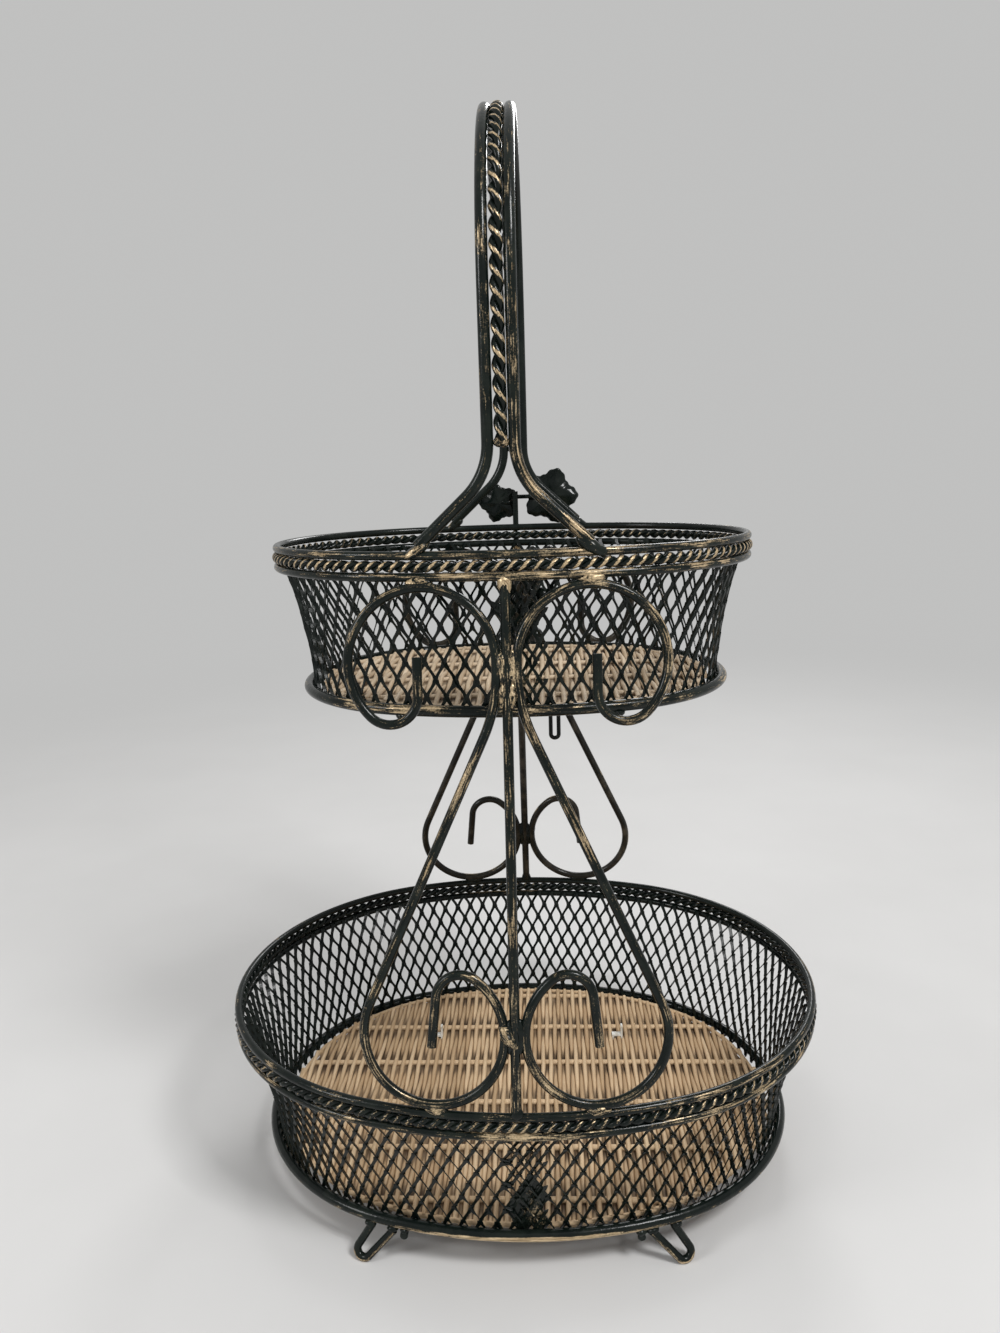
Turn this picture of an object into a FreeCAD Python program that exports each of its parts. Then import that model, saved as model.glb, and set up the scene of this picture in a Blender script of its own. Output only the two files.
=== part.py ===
import FreeCAD
import Part
import math
import os

os.makedirs("parts", exist_ok=True)
V = FreeCAD.Vector
UP = V(0, 0, 1)

# Driving dimensions, in millimetres and degrees.
# The long way of both ovals runs along X, the ornament faces +Y and +Z is up.

# Rims: half sizes of the oval that the middle of the rim wires follows.
LOWER_HALF_WIDTH = 139.5
LOWER_HALF_DEPTH = 114.0
LOWER_SIDE_BOW = 5.0
UPPER_HALF_WIDTH = 106.0
UPPER_HALF_DEPTH = 84.0
UPPER_SIDE_BOW = 4.0

# Heights: floor to lower base ring, then ring to ring up to the handle's crown.
FOOT_HEIGHT = 18.0
LOWER_DEPTH = 64.2
TIER_RISE = 216.5
UPPER_DEPTH = 63.5
HANDLE_RISE = 177.4

# Wire thicknesses.
RIM_WIRE = 3.5
RIM_ROPE = 4.6
BASE_WIRE = 4.8
SCROLL_WIRE = 3.8
POST_WIRE = 4.0
HANDLE_WIRE = 4.6
HANDLE_ROPE = 5.4
FOOT_WIRE = 3.4
CROSS_WIRE = 3.4
STEM_WIRE = 3.0
TENDRIL_WIRE = 2.4

# Walls of expanded metal: a sheet opened into diamonds, with a plain border above and below.
WALL_THICKNESS = 1.2
WALL_SAG = 2.2
MESH_PITCH = 26.0
MESH_ROWS = 4
MESH_STRAND = 2.6
MESH_BORDER = 3.0
LOWER_BASE_INSET = 13.0
UPPER_BASE_INSET = 10.4

# Wicker mats and what carries them.
MAT_THICKNESS = 4.3
REED_PITCH = 2.2
REED_RELIEF = 0.9
MAT_END_GAP = 5.0
MAT_SIDE_GAP = 1.2
LOWER_CROSS_X = 50.0
UPPER_CROSS_X = 44.0
CROSS_OVERHANG = 2.4
TIE_Y = 45.0
TIE_WIDTH = 3.0
TIE_STRAP = 1.0
TIE_TAIL = 5.0

# Scrolls, measured along the post from its foot.
UPPER_LOOP_RADIUS = 29.0
HOOK_RADIUS = 11.0
HOOK_ANGLE = 45.0
HOOK_TAIL = 15.0
POST_RUN = 4.0
BEND_RADIUS = 60.0
LOWER_LOOP_RADIUS = 28.0
CURL_RADIUS = 10.0
CURL_ANGLE = 128.0
CURL_TAIL = 20.0
CURL_TAIL_LEAN = 6.0

# Handle.
HANDLE_FOOT_X = 33.0
SPLAY_ANGLE = 47.0
SPLAY_RADIUS = 27.0

# Loop feet.
FOOT_FROM_CROSS = 8.5
FOOT_LOOP_WIDTH = 10.6
FOOT_BEND_RADIUS = 3.2
FOOT_LEAN = 8.5
FOOT_SPLAY = 18.0
FOOT_FLAT = 0.4

# Grape ornament on the front post, measured down the post from its head.
GRAPE = 9.0
BUNCH_DROP = 7.0
BUNCH_LENGTH = 102.0
BUNCH_HALF_WIDTH = 19.0
BUNCH_TOP_X = 7.0
BUNCH_TIP_X = -5.0
FRONT_LAYER_SHARE = 0.55
STEM_TOP = 19.0
STEM_LENGTH = 114.0
STEM_BEND_RADIUS = 60.0
LEAF_SHEET = 1.2
LEAF_STALK_WIDTH = 3.0
LEAF_LOBES = 7
LEAF_NOTCH = 0.78
RIGHT_LEAF_RADIUS = 15.5
RIGHT_LEAF_REACH = 19.0
RIGHT_LEAF_RISE = 16.0
LEFT_LEAF_RADIUS = 11.0
LEFT_LEAF_REACH = 9.0
LEFT_LEAF_RISE = 13.0
LOW_LEAF_RADIUS = 15.5
LOW_LEAF_REACH = 17.5
LOW_LEAF_RISE = 30.0
TENDRIL_LENGTH = 30.0
TENDRIL_TURN_RADIUS = 2.3
TENDRIL_RETURN = 14.0

# Clearances.
WELD_GAP = 0.1
WALL_GAP = 0.3
TIE_GAP = 0.2

# Heights that follow.
LOWER_BASE_Z = FOOT_HEIGHT
LOWER_TOP_Z = LOWER_BASE_Z + LOWER_DEPTH
UPPER_TOP_Z = LOWER_TOP_Z + TIER_RISE
UPPER_BASE_Z = UPPER_TOP_Z - UPPER_DEPTH
CROWN_Z = UPPER_TOP_Z + HANDLE_RISE
ROPE_DROP = (RIM_WIRE + RIM_ROPE) / 2 + WELD_GAP
UNDER_DROP = 2 * ROPE_DROP


class Oval:
    """Four-arc oval: two tight arcs at its long ends and two flatter arcs that meet them on a tangent."""

    def __init__(self, half_width, half_depth, side_bow):
        self.half_width = half_width
        self.half_depth = half_depth
        self.side_bow = side_bow
        short = min(half_width, half_depth)
        tight = short - side_bow
        flat = (max(half_width, half_depth) - tight) ** 2 / (2 * side_bow) + (short + tight) / 2
        self.end_r, self.side_r = (tight, flat) if half_width > half_depth else (flat, tight)
        self.end_x = half_width - self.end_r
        self.side_y = self.side_r - half_depth
        self.join = math.atan2(abs(self.side_y), abs(self.end_x))

    def offset(self, distance):
        return Oval(self.half_width + distance, self.half_depth + distance, self.side_bow)

    def arcs(self):
        """Centre, radius, start angle and sweep of the four arcs, anticlockwise."""
        end_sweep = 2 * self.join
        side_sweep = math.pi - end_sweep
        return [
            (V(self.end_x, 0, 0), self.end_r, -self.join, end_sweep),
            (V(0, -self.side_y, 0), self.side_r, self.join, side_sweep),
            (V(-self.end_x, 0, 0), self.end_r, math.pi - self.join, end_sweep),
            (V(0, self.side_y, 0), self.side_r, math.pi + self.join, side_sweep),
        ]

    def girth(self):
        return sum(radius * sweep for centre, radius, start, sweep in self.arcs())

    def walk(self, distance):
        """Point at a distance round the outline, and the unit vector out of it there."""
        for centre, radius, start, sweep in self.arcs():
            if distance < radius * sweep:
                break
            distance -= radius * sweep
        angle = start + distance / radius
        out = V(math.cos(angle), math.sin(angle), 0)
        return centre + out * radius, out

    def depth_at(self, x):
        """Distance of the outline from the X axis at a given x."""
        if abs(x) < self.side_r * math.cos(self.join):
            return math.sqrt(self.side_r ** 2 - x ** 2) - self.side_y
        return math.sqrt(self.end_r ** 2 - (abs(x) - self.end_x) ** 2)

    def normal_at(self, x):
        """Unit vector out of the outline on its -Y side at a given x."""
        if abs(x) < self.side_r * math.cos(self.join):
            centre = V(0, self.side_y, 0)
        else:
            centre = V(math.copysign(1, x) * self.end_x, 0, 0)
        out = V(x, -self.depth_at(x), 0) - centre
        return out.normalize()


LOWER_RIM = Oval(LOWER_HALF_WIDTH, LOWER_HALF_DEPTH, LOWER_SIDE_BOW)
UPPER_RIM = Oval(UPPER_HALF_WIDTH, UPPER_HALF_DEPTH, UPPER_SIDE_BOW)


def export(name, shapes):
    """Writes one node: a solid, or a group of separate solids."""
    shape = shapes[0] if len(shapes) == 1 else Part.makeCompound(shapes)
    shape.exportStep("parts/" + name + ".step")
    print(name, len(shape.Solids), round(shape.Volume, 1), shape.isValid())


def line(start, end):
    return Part.LineSegment(start, end).toShape()


def arc(start, middle, end):
    return Part.Arc(start, middle, end).toShape()


def tube(edges, diameter):
    """Round wire along straight runs and tangent arcs."""
    path = Part.Wire(edges)
    start = path.Edges[0].valueAt(path.Edges[0].FirstParameter)
    heading = path.Edges[0].tangentAt(path.Edges[0].FirstParameter)
    section = Part.Wire(Part.makeCircle(diameter / 2, start, heading))
    return path.makePipeShell([section], True, False)


def around(oval, section):
    """Carries a section, drawn by distance out of the oval and height, round the oval."""
    pieces = []
    for centre, radius, start, sweep in oval.arcs():
        out = V(math.cos(start), math.sin(start), 0)

        def place(distance, height):
            return centre + out * (radius + distance) + UP * height

        face = section(place, UP.cross(out))
        pieces.append(face.revolve(centre, UP, math.degrees(sweep)))
    return pieces[0].multiFuse(pieces[1:])


def wire_ring(oval, height, diameter):
    def section(place, heading):
        return Part.Face(Part.Wire(Part.makeCircle(diameter / 2, place(0, height), heading)))

    return around(oval, section)


def wall_insets(base_inset):
    """How far the wall's outer face stands in from the rim oval, at its top and its foot."""
    top = RIM_WIRE / 2 + WALL_GAP
    foot = base_inset + BASE_WIRE / 2 + WALL_GAP
    return top, foot


def mesh_openings(oval, insets, high, low):
    """Prisms that open the wall into diamonds, with half diamonds along its borders."""
    bottom = low + MESH_BORDER
    rise = (high - low - 2 * MESH_BORDER) / MESH_ROWS
    columns = round(oval.girth() / MESH_PITCH)
    depth = insets[1] + WALL_SAG + WALL_THICKNESS
    prisms = []
    for row in range(MESH_ROWS + 1):
        inset = insets[1] + (insets[0] - insets[1]) * row / MESH_ROWS
        half_width = oval.offset(-inset).girth() / columns / 2
        shrink = 1 - MESH_STRAND / 2 * math.hypot(half_width, rise) / (half_width * rise)
        corners = [(-half_width, 0), (half_width, 0)]
        if row < MESH_ROWS:
            corners.insert(1, (0, rise))
        if row > 0:
            corners.append((0, -rise))
        for column in range(columns):
            point, out = oval.walk((column + (row + 1) % 2 / 2) * oval.girth() / columns)
            middle = V(point.x, point.y, bottom + row * rise) - out * depth
            outline = [middle + UP.cross(out) * (u * shrink) + UP * (v * shrink) for u, v in corners]
            prisms.append(Part.Face(Part.makePolygon(outline + outline[:1])).extrude(out * depth))
    return prisms


def mesh_wall(oval, base_inset, top_z, base_z):
    """Flared openwork wall between the rim's under ring and the base ring."""
    top_inset, foot_inset = wall_insets(base_inset)
    high = top_z - UNDER_DROP + RIM_WIRE / 2
    low = base_z - BASE_WIRE / 2
    middle_inset = (top_inset + foot_inset) / 2 + WALL_SAG

    def section(place, heading):
        outer = [place(-top_inset, high), place(-middle_inset, (high + low) / 2), place(-foot_inset, low)]
        inner = [place(-top_inset - WALL_THICKNESS, high),
                 place(-middle_inset - WALL_THICKNESS, (high + low) / 2),
                 place(-foot_inset - WALL_THICKNESS, low)]
        edges = [arc(*outer), line(outer[2], inner[2]), arc(*inner), line(inner[0], outer[0])]
        return Part.Face(Part.Wire(Part.__sortEdges__(edges)))

    sheet = around(oval, section)
    return sheet.cut(Part.makeCompound(mesh_openings(oval, (top_inset, foot_inset), high, low)))


def cross_wire_z(base_z):
    """Middle height of the cross wires, welded under the base ring."""
    return base_z - (BASE_WIRE + CROSS_WIRE) / 2 - WELD_GAP


def mat_bottom_z(base_z):
    return cross_wire_z(base_z) + CROSS_WIRE / 2 + WELD_GAP


def mat_oval(oval, base_inset):
    inside = oval.offset(-wall_insets(base_inset)[1] - WALL_THICKNESS)
    return Oval(inside.half_width - MAT_END_GAP, inside.half_depth - MAT_SIDE_GAP, oval.side_bow)


def plate(oval, low, thickness):
    edges = []
    for centre, radius, start, sweep in oval.arcs():
        points = [centre + V(math.cos(a), math.sin(a), 0) * radius + UP * low
                  for a in (start, start + sweep / 2, start + sweep)]
        edges.append(arc(*points))
    return Part.Face(Part.Wire(edges)).extrude(UP * thickness)


def ribbed_mat(oval, low):
    """Mat with a rounded rib along its top for each reed, from front to back."""
    top = low + MAT_THICKNESS
    valley = top - REED_RELIEF
    reeds = int(oval.half_width / REED_PITCH) + 1
    y = -oval.half_depth
    edges = []
    for reed in range(-reeds, reeds + 1):
        x = reed * REED_PITCH
        edges.append(arc(V(x - REED_PITCH / 2, y, valley), V(x, y, top), V(x + REED_PITCH / 2, y, valley)))
    end = reeds * REED_PITCH + REED_PITCH / 2
    edges += [line(V(end, y, valley), V(end, y, low)), line(V(end, y, low), V(-end, y, low)),
              line(V(-end, y, low), V(-end, y, valley))]
    ribbed = Part.Face(Part.Wire(edges)).extrude(V(0, 2 * oval.half_depth, 0))
    return plate(oval, low, MAT_THICKNESS).common(ribbed)


def box_about(centre, size_x, size_y, low, high):
    corner = V(centre.x - size_x / 2, centre.y - size_y / 2, low)
    return Part.makeBox(size_x, size_y, high - low, corner)


def mat_tie(x, base_z):
    """Strap round a cross wire and up through the weave, with its cut tail standing up."""
    inner_x = CROSS_WIRE + 2 * TIE_GAP
    outer_x = inner_x + 2 * TIE_STRAP
    inner_low = cross_wire_z(base_z) - CROSS_WIRE / 2 - TIE_GAP
    inner_high = mat_bottom_z(base_z) + MAT_THICKNESS + WELD_GAP
    centre = V(x, TIE_Y, 0)
    loop = box_about(centre, outer_x, TIE_WIDTH, inner_low - TIE_STRAP, inner_high + TIE_STRAP)
    hole = box_about(centre, inner_x, TIE_WIDTH + 2 * TIE_GAP, inner_low, inner_high)
    tail_centre = V(x + (inner_x + TIE_STRAP) / 2, TIE_Y, 0)
    tail = box_about(tail_centre, TIE_STRAP, TIE_WIDTH, inner_high, inner_high + TIE_STRAP + TIE_TAIL)
    return loop.cut(hole).fuse(tail).removeSplitter()


def tie_slots(x, base_z):
    """Slots in the weave for the two legs of a tie."""
    low = mat_bottom_z(base_z)
    slots = []
    for side in (-1, 1):
        middle = V(x + side * (CROSS_WIRE + 2 * TIE_GAP + TIE_STRAP) / 2, TIE_Y, 0)
        slots.append(box_about(middle, TIE_STRAP + 2 * TIE_GAP, TIE_WIDTH + 2 * TIE_GAP,
                               low - TIE_GAP, low + MAT_THICKNESS + TIE_GAP))
    return slots


def basket(name, oval, base_inset, top_z, base_z, cross_x, tie_xs):
    """One tier: rim of two rings and a rope, wall, base ring, cross wires, mat and ties."""
    base_oval = oval.offset(-base_inset)
    export(name + "_rim_top_ring", [wire_ring(oval, top_z, RIM_WIRE)])
    export(name + "_rim_rope", [wire_ring(oval, top_z - ROPE_DROP, RIM_ROPE)])
    export(name + "_rim_under_ring", [wire_ring(oval, top_z - UNDER_DROP, RIM_WIRE)])
    export(name + "_mesh_wall", [mesh_wall(oval, base_inset, top_z, base_z)])
    export(name + "_base_ring", [wire_ring(base_oval, base_z, BASE_WIRE)])
    half = base_oval.depth_at(cross_x) + CROSS_OVERHANG
    height = cross_wire_z(base_z)
    wires = [Part.makeCylinder(CROSS_WIRE / 2, 2 * half, V(x, -half, height), V(0, 1, 0))
             for x in (-cross_x, cross_x)]
    export(name + "_cross_wires", wires)
    mat = ribbed_mat(mat_oval(oval, base_inset), mat_bottom_z(base_z))
    for x in tie_xs:
        mat = mat.cut(Part.makeCompound(tie_slots(x, base_z)))
    export(name + "_wicker_mat", mat.Solids)
    if tie_xs:
        export(name + "_mat_ties", [mat_tie(x, base_z) for x in tie_xs])


class PostPlane:
    """Leaning plane of a centre post: u runs sideways from the post, v up along it."""

    def __init__(self, side):
        self.side = side
        self.foot = V(0, side * LOWER_RIM.half_depth, LOWER_TOP_Z + RIM_WIRE / 2 + WELD_GAP)
        self.head = V(0, side * UPPER_RIM.half_depth,
                      UPPER_TOP_Z - UNDER_DROP - RIM_WIRE / 2 - WELD_GAP)
        self.length = (self.head - self.foot).Length
        self.along = (self.head - self.foot).normalize()
        self.out = V(side, 0, 0).cross(self.along) * -1

    def scroll_point(self, hand, u, v):
        """Point on the scroll's own plane, turned in to follow the rim's curve."""
        reach = POST_WIRE / 2 + SCROLL_WIRE / 2 + WELD_GAP + LOWER_LOOP_RADIUS
        drop = LOWER_RIM.half_depth - LOWER_RIM.depth_at(reach)
        turn = math.atan2(drop, reach)
        sideways = V(hand * math.cos(turn), -self.side * math.sin(turn), 0)
        # Squared to the post so that the loops stay round, and lifted to rest on the rim.
        square = (sideways - self.along * sideways.dot(self.along)).normalize()
        lift = -square.z * reach / self.along.z
        return self.foot + square * u + self.along * (v + lift)

    def front_point(self, x, v, distance):
        """Point in front of the post, away from the baskets."""
        return self.foot + V(x, 0, 0) + self.along * v + self.out * distance


def polar(centre, radius, degrees):
    angle = math.radians(degrees)
    return (centre[0] + radius * math.cos(angle), centre[1] + radius * math.sin(angle))


def scroll_wire(plane, hand):
    """One S-scroll: hooked loop under the upper rim, long diagonal, curled loop on the lower rim."""
    near = POST_WIRE / 2 + SCROLL_WIRE / 2 + WELD_GAP
    upper = (near + UPPER_LOOP_RADIUS, plane.length - SCROLL_WIRE / 2 - UPPER_LOOP_RADIUS)
    lower = (near + LOWER_LOOP_RADIUS, SCROLL_WIRE / 2 + LOWER_LOOP_RADIUS)
    hook = polar(upper, UPPER_LOOP_RADIUS - HOOK_RADIUS, -HOOK_ANGLE)
    curl = polar(lower, LOWER_LOOP_RADIUS - CURL_RADIUS, CURL_ANGLE)
    bend = (near + BEND_RADIUS, upper[1] - POST_RUN)
    # The diagonal is the crossing tangent of the bend and the lower loop.
    across = (lower[0] - bend[0], lower[1] - bend[1])
    span = math.hypot(*across)
    lean = math.asin((BEND_RADIUS + LOWER_LOOP_RADIUS) / span)
    turn = math.degrees(math.atan2(across[1], across[0]) + lean) + 90

    def at(point):
        return plane.scroll_point(hand, point[0], point[1])

    def bow(centre, radius, first, last):
        return arc(*[at(polar(centre, radius, a)) for a in (first, (first + last) / 2, last)])

    hook_end = polar(hook, HOOK_RADIUS, 180)
    curl_end = polar(curl, CURL_RADIUS, CURL_TAIL_LEAN)
    tail_end = polar(curl_end, CURL_TAIL, CURL_TAIL_LEAN - 90)
    edges = [
        line(at((hook_end[0], hook_end[1] + HOOK_TAIL)), at(hook_end)),
        bow(hook, HOOK_RADIUS, 180, 360 - HOOK_ANGLE),
        bow(upper, UPPER_LOOP_RADIUS, -HOOK_ANGLE, 180),
        line(at((near, upper[1])), at((near, bend[1]))),
        bow(bend, BEND_RADIUS, 180, 180 + turn),
        line(at(polar(bend, BEND_RADIUS, 180 + turn)), at(polar(lower, LOWER_LOOP_RADIUS, turn))),
        bow(lower, LOWER_LOOP_RADIUS, turn, CURL_ANGLE - 360),
        bow(curl, CURL_RADIUS, CURL_ANGLE, CURL_TAIL_LEAN),
        line(at(curl_end), at(tail_end)),
    ]
    return tube(edges, SCROLL_WIRE)


def supports():
    """Posts and scrolls that carry the upper tier on the lower rim."""
    for name, side in (("back", -1), ("front", 1)):
        plane = PostPlane(side)
        post = Part.makeCylinder(POST_WIRE / 2, plane.length, plane.foot, plane.along)
        export(name + "_post", [post])
        for hand_name, hand in (("left", -1), ("right", 1)):
            export(name + "_scroll_" + hand_name, [scroll_wire(plane, hand)])


def handle_sizes():
    """Half span of the arch, spacing of its wires, and the heights where its bends begin."""
    half_span = UPPER_RIM.depth_at(HANDLE_FOOT_X)
    wire_x = (HANDLE_ROPE + HANDLE_WIRE) / 2 + WELD_GAP
    splay = math.radians(SPLAY_ANGLE)
    foot_z = UPPER_TOP_Z + RIM_WIRE / 2 + WELD_GAP + HANDLE_WIRE / 2 * math.sin(splay)
    bend_x = SPLAY_RADIUS * (1 - math.cos(splay))
    run_z = (HANDLE_FOOT_X - wire_x - bend_x) / math.tan(splay)
    splay_z = foot_z + run_z + SPLAY_RADIUS * math.sin(splay)
    return half_span, wire_x, foot_z, run_z, splay_z


def arch(x, half_span):
    """Half round of the arch from the -Y leg over to the +Y leg."""
    spring_z = CROWN_Z - half_span
    return arc(V(x, -half_span, spring_z), V(x, 0, CROWN_Z), V(x, half_span, spring_z))


def handle_wire(hand):
    half_span, wire_x, foot_z, run_z, splay_z = handle_sizes()
    splay = math.radians(SPLAY_ANGLE)

    def leg(side):
        y = side * half_span
        bend_centre = wire_x + SPLAY_RADIUS
        foot = V(hand * HANDLE_FOOT_X, y, foot_z)
        points = [V(hand * (bend_centre - SPLAY_RADIUS * math.cos(a)), y, splay_z - SPLAY_RADIUS * math.sin(a))
                  for a in (splay, splay / 2, 0)]
        top = V(hand * wire_x, y, CROWN_Z - half_span)
        return foot, points, top

    foot, bend, top = leg(-1)
    far_foot, far_bend, far_top = leg(1)
    edges = [line(foot, bend[0]), arc(*bend), line(bend[2], top), arch(hand * wire_x, half_span),
             line(far_top, far_bend[2]), arc(far_bend[2], far_bend[1], far_bend[0]),
             line(far_bend[0], far_foot)]
    return tube(edges, HANDLE_WIRE)


def handle():
    """Two parallel wires with a twisted rope between them."""
    for hand_name, hand in (("left", -1), ("right", 1)):
        export("handle_wire_" + hand_name, [handle_wire(hand)])
    half_span, wire_x, foot_z, run_z, splay_z = handle_sizes()
    top_z = CROWN_Z - half_span
    edges = [line(V(0, -half_span, splay_z), V(0, -half_span, top_z)), arch(0, half_span),
             line(V(0, half_span, top_z), V(0, half_span, splay_z))]
    export("handle_rope", [tube(edges, HANDLE_ROPE)])


def loop_foot(x, side):
    """Hairpin loop under the base ring, leaning to the oval's end and cut flat where it stands."""
    base = LOWER_RIM.offset(-LOWER_BASE_INSET)
    out = base.normal_at(x)
    across = UP.cross(out) * math.copysign(1, x)
    splay = math.radians(FOOT_SPLAY)
    down = out * math.sin(splay) - UP * math.cos(splay)
    ring_point = V(x, -base.depth_at(x), LOWER_BASE_Z)
    start = BASE_WIRE / 2 + WELD_GAP
    drop = (LOWER_BASE_Z - FOOT_WIRE / 2 + FOOT_FLAT) / math.cos(splay) - FOOT_BEND_RADIUS

    def at(sideways, length):
        return ring_point + across * sideways + down * length

    def leg(sideways, hand):
        """Top of a leg, clear of the ring, the point where it meets the bend, and its slope."""
        span = math.hypot(FOOT_LEAN - sideways, drop - start)
        slope = math.atan2(drop - start, FOOT_LEAN - sideways) + hand * math.asin(FOOT_BEND_RADIUS / span)
        reach = math.sqrt(span ** 2 - FOOT_BEND_RADIUS ** 2)
        clear = FOOT_WIRE / 2 / abs(math.tan(slope))
        top = at(sideways + clear * math.cos(slope), start + clear * math.sin(slope))
        return top, at(sideways + reach * math.cos(slope), start + reach * math.sin(slope)), slope

    inner_top, inner_low, inner_slope = leg(-FOOT_LOOP_WIDTH / 2, 1)
    outer_top, outer_low, outer_slope = leg(FOOT_LOOP_WIDTH / 2, -1)
    tip = polar((FOOT_LEAN, drop), FOOT_BEND_RADIUS, math.degrees(inner_slope + outer_slope) / 2)
    edges = [line(inner_top, inner_low), arc(inner_low, at(*tip), outer_low), line(outer_low, outer_top)]
    loop = tube(edges, FOOT_WIRE)
    room = 2 * LOWER_HALF_WIDTH
    floor = Part.makeBox(2 * room, 2 * room, room, V(-room, -room, -room))
    loop = loop.cut(floor)
    if side > 0:
        loop = loop.mirror(V(0, 0, 0), V(0, 1, 0))
    return loop


def feet():
    for name, side in (("back", -1), ("front", 1)):
        for hand_name, hand in (("left", -1), ("right", 1)):
            foot = loop_foot(hand * (LOWER_CROSS_X + FOOT_FROM_CROSS), side)
            export("foot_" + name + "_" + hand_name, [foot])


def stem_distance():
    """How far the ornament's stem stands in front of the middle of the post."""
    return (POST_WIRE + STEM_WIRE) / 2 + WELD_GAP


def stem_wall_y():
    """The stem's upper run stands just clear of the rim."""
    return UPPER_RIM.half_depth + max(RIM_WIRE, RIM_ROPE) / 2 + WELD_GAP + STEM_WIRE / 2


def vine_stem(plane):
    """Stem that runs down the rim and then along the front post."""
    low = plane.front_point(0, plane.length - STEM_LENGTH, stem_distance())
    corner = low + plane.along * ((stem_wall_y() - low.y) / plane.along.y)
    top = V(0, corner.y, UPPER_TOP_Z + STEM_TOP)
    turn = plane.along.getAngle(UP)
    step = STEM_BEND_RADIUS * math.tan(turn / 2)
    start = corner + UP * step
    end = corner - plane.along * step
    towards_heart = (UP - plane.along).normalize()
    middle = corner + towards_heart * (STEM_BEND_RADIUS / math.cos(turn / 2) - STEM_BEND_RADIUS)
    return tube([line(top, start), arc(start, middle, end), line(end, low)], STEM_WIRE)


def grape_centres(plane):
    """Close-packed grapes inside a tapering outline, with a second layer towards the shoulders."""
    pitch = GRAPE + WELD_GAP
    row_drop = pitch * math.sqrt(3) / 2
    layer_drop = pitch / math.sqrt(3)
    layer_step = pitch * math.sqrt(2 / 3)
    depth = stem_distance() + STEM_WIRE / 2 + WELD_GAP + GRAPE / 2
    columns = int((BUNCH_HALF_WIDTH + abs(BUNCH_TOP_X) + abs(BUNCH_TIP_X)) / pitch) + 1
    centres = []
    for layer, reach in ((0, 1), (1, FRONT_LAYER_SHARE)):
        for row in range(int(reach * BUNCH_LENGTH / row_drop)):
            drop = row * row_drop + layer * layer_drop
            share = drop / BUNCH_LENGTH
            middle = BUNCH_TOP_X + (BUNCH_TIP_X - BUNCH_TOP_X) * share
            half = max(BUNCH_HALF_WIDTH * math.sqrt(1 - share) - layer * GRAPE - GRAPE / 2, pitch / 2)
            for column in range(-columns, columns + 1):
                x = (column + row % 2 / 2) * pitch
                if abs(x - middle) <= half:
                    v = plane.length - BUNCH_DROP - drop
                    centres.append(plane.front_point(x, v, depth + layer * layer_step))
    return centres


def leaf(stalk_end, right, up, out, radius, reach):
    """Lobed sheet leaf in the plane of right and up, with its middle at a reach from the stalk's end."""
    centre = stalk_end + right * reach
    notch = radius * LEAF_NOTCH
    step = 2 * math.pi / LEAF_LOBES

    def at(distance, angle):
        return centre + right * (distance * math.cos(angle)) + up * (distance * math.sin(angle))

    edges = []
    for lobe in range(LEAF_LOBES):
        angle = lobe * step
        edges.append(arc(at(notch, angle - step / 2), at(radius, angle), at(notch, angle + step / 2)))
    half_sheet = out * (LEAF_SHEET / 2)
    half_stalk = up * (LEAF_STALK_WIDTH / 2)
    corners = [centre + half_stalk, centre - half_stalk, stalk_end - half_stalk, stalk_end + half_stalk]
    outlines = [Part.Wire(edges), Part.makePolygon(corners + corners[:1])]
    blade, stalk = [Part.Face(w).extrude(half_sheet * 2).translated(half_sheet * -1) for w in outlines]
    return blade.fuse(stalk).removeSplitter()


def tendril(plane, x, v):
    """Hairpin of thin wire that hangs in front of the low leaf."""
    distance = stem_distance() + LEAF_SHEET / 2 + WELD_GAP + TENDRIL_WIRE / 2

    def at(sideways, drop):
        return plane.front_point(x + sideways, v - drop, distance)

    turn = TENDRIL_TURN_RADIUS
    low = at(-turn, TENDRIL_LENGTH)
    far_low = at(turn, TENDRIL_LENGTH)
    edges = [line(at(-turn, 0), low), arc(low, at(0, TENDRIL_LENGTH + turn), far_low),
             line(far_low, at(turn, TENDRIL_LENGTH - TENDRIL_RETURN))]
    return tube(edges, TENDRIL_WIRE)


def ornament():
    """Grape bunch, stem, three leaves and a tendril on the front of the upper tier."""
    plane = PostPlane(1)
    export("vine_stem", [vine_stem(plane)])
    export("grape_bunch", [Part.makeSphere(GRAPE / 2, c) for c in grape_centres(plane)])
    left_y = stem_wall_y() + (STEM_WIRE + LEAF_SHEET) / 2 + WELD_GAP
    right_y = left_y + LEAF_SHEET + WELD_GAP
    export("leaf_upper_left", [leaf(V(0, left_y, UPPER_TOP_Z + LEFT_LEAF_RISE), V(-1, 0, 0), UP, V(0, 1, 0),
                                    LEFT_LEAF_RADIUS, LEFT_LEAF_REACH)])
    export("leaf_upper_right", [leaf(V(0, right_y, UPPER_TOP_Z + RIGHT_LEAF_RISE), V(1, 0, 0), UP, V(0, 1, 0),
                                     RIGHT_LEAF_RADIUS, RIGHT_LEAF_REACH)])
    side_gap = STEM_WIRE / 2 + WELD_GAP
    low_v = plane.length - STEM_LENGTH + LOW_LEAF_RISE
    stalk_end = plane.front_point(side_gap, low_v, stem_distance())
    export("leaf_low", [leaf(stalk_end, V(1, 0, 0), plane.along, plane.out, LOW_LEAF_RADIUS, LOW_LEAF_REACH)])
    export("tendril", [tendril(plane, side_gap + LOW_LEAF_REACH, low_v)])


basket("lower", LOWER_RIM, LOWER_BASE_INSET, LOWER_TOP_Z, LOWER_BASE_Z, LOWER_CROSS_X,
       (-LOWER_CROSS_X, LOWER_CROSS_X))
basket("upper", UPPER_RIM, UPPER_BASE_INSET, UPPER_TOP_Z, UPPER_BASE_Z, UPPER_CROSS_X, ())
supports()
handle()
feet()
ornament()
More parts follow.
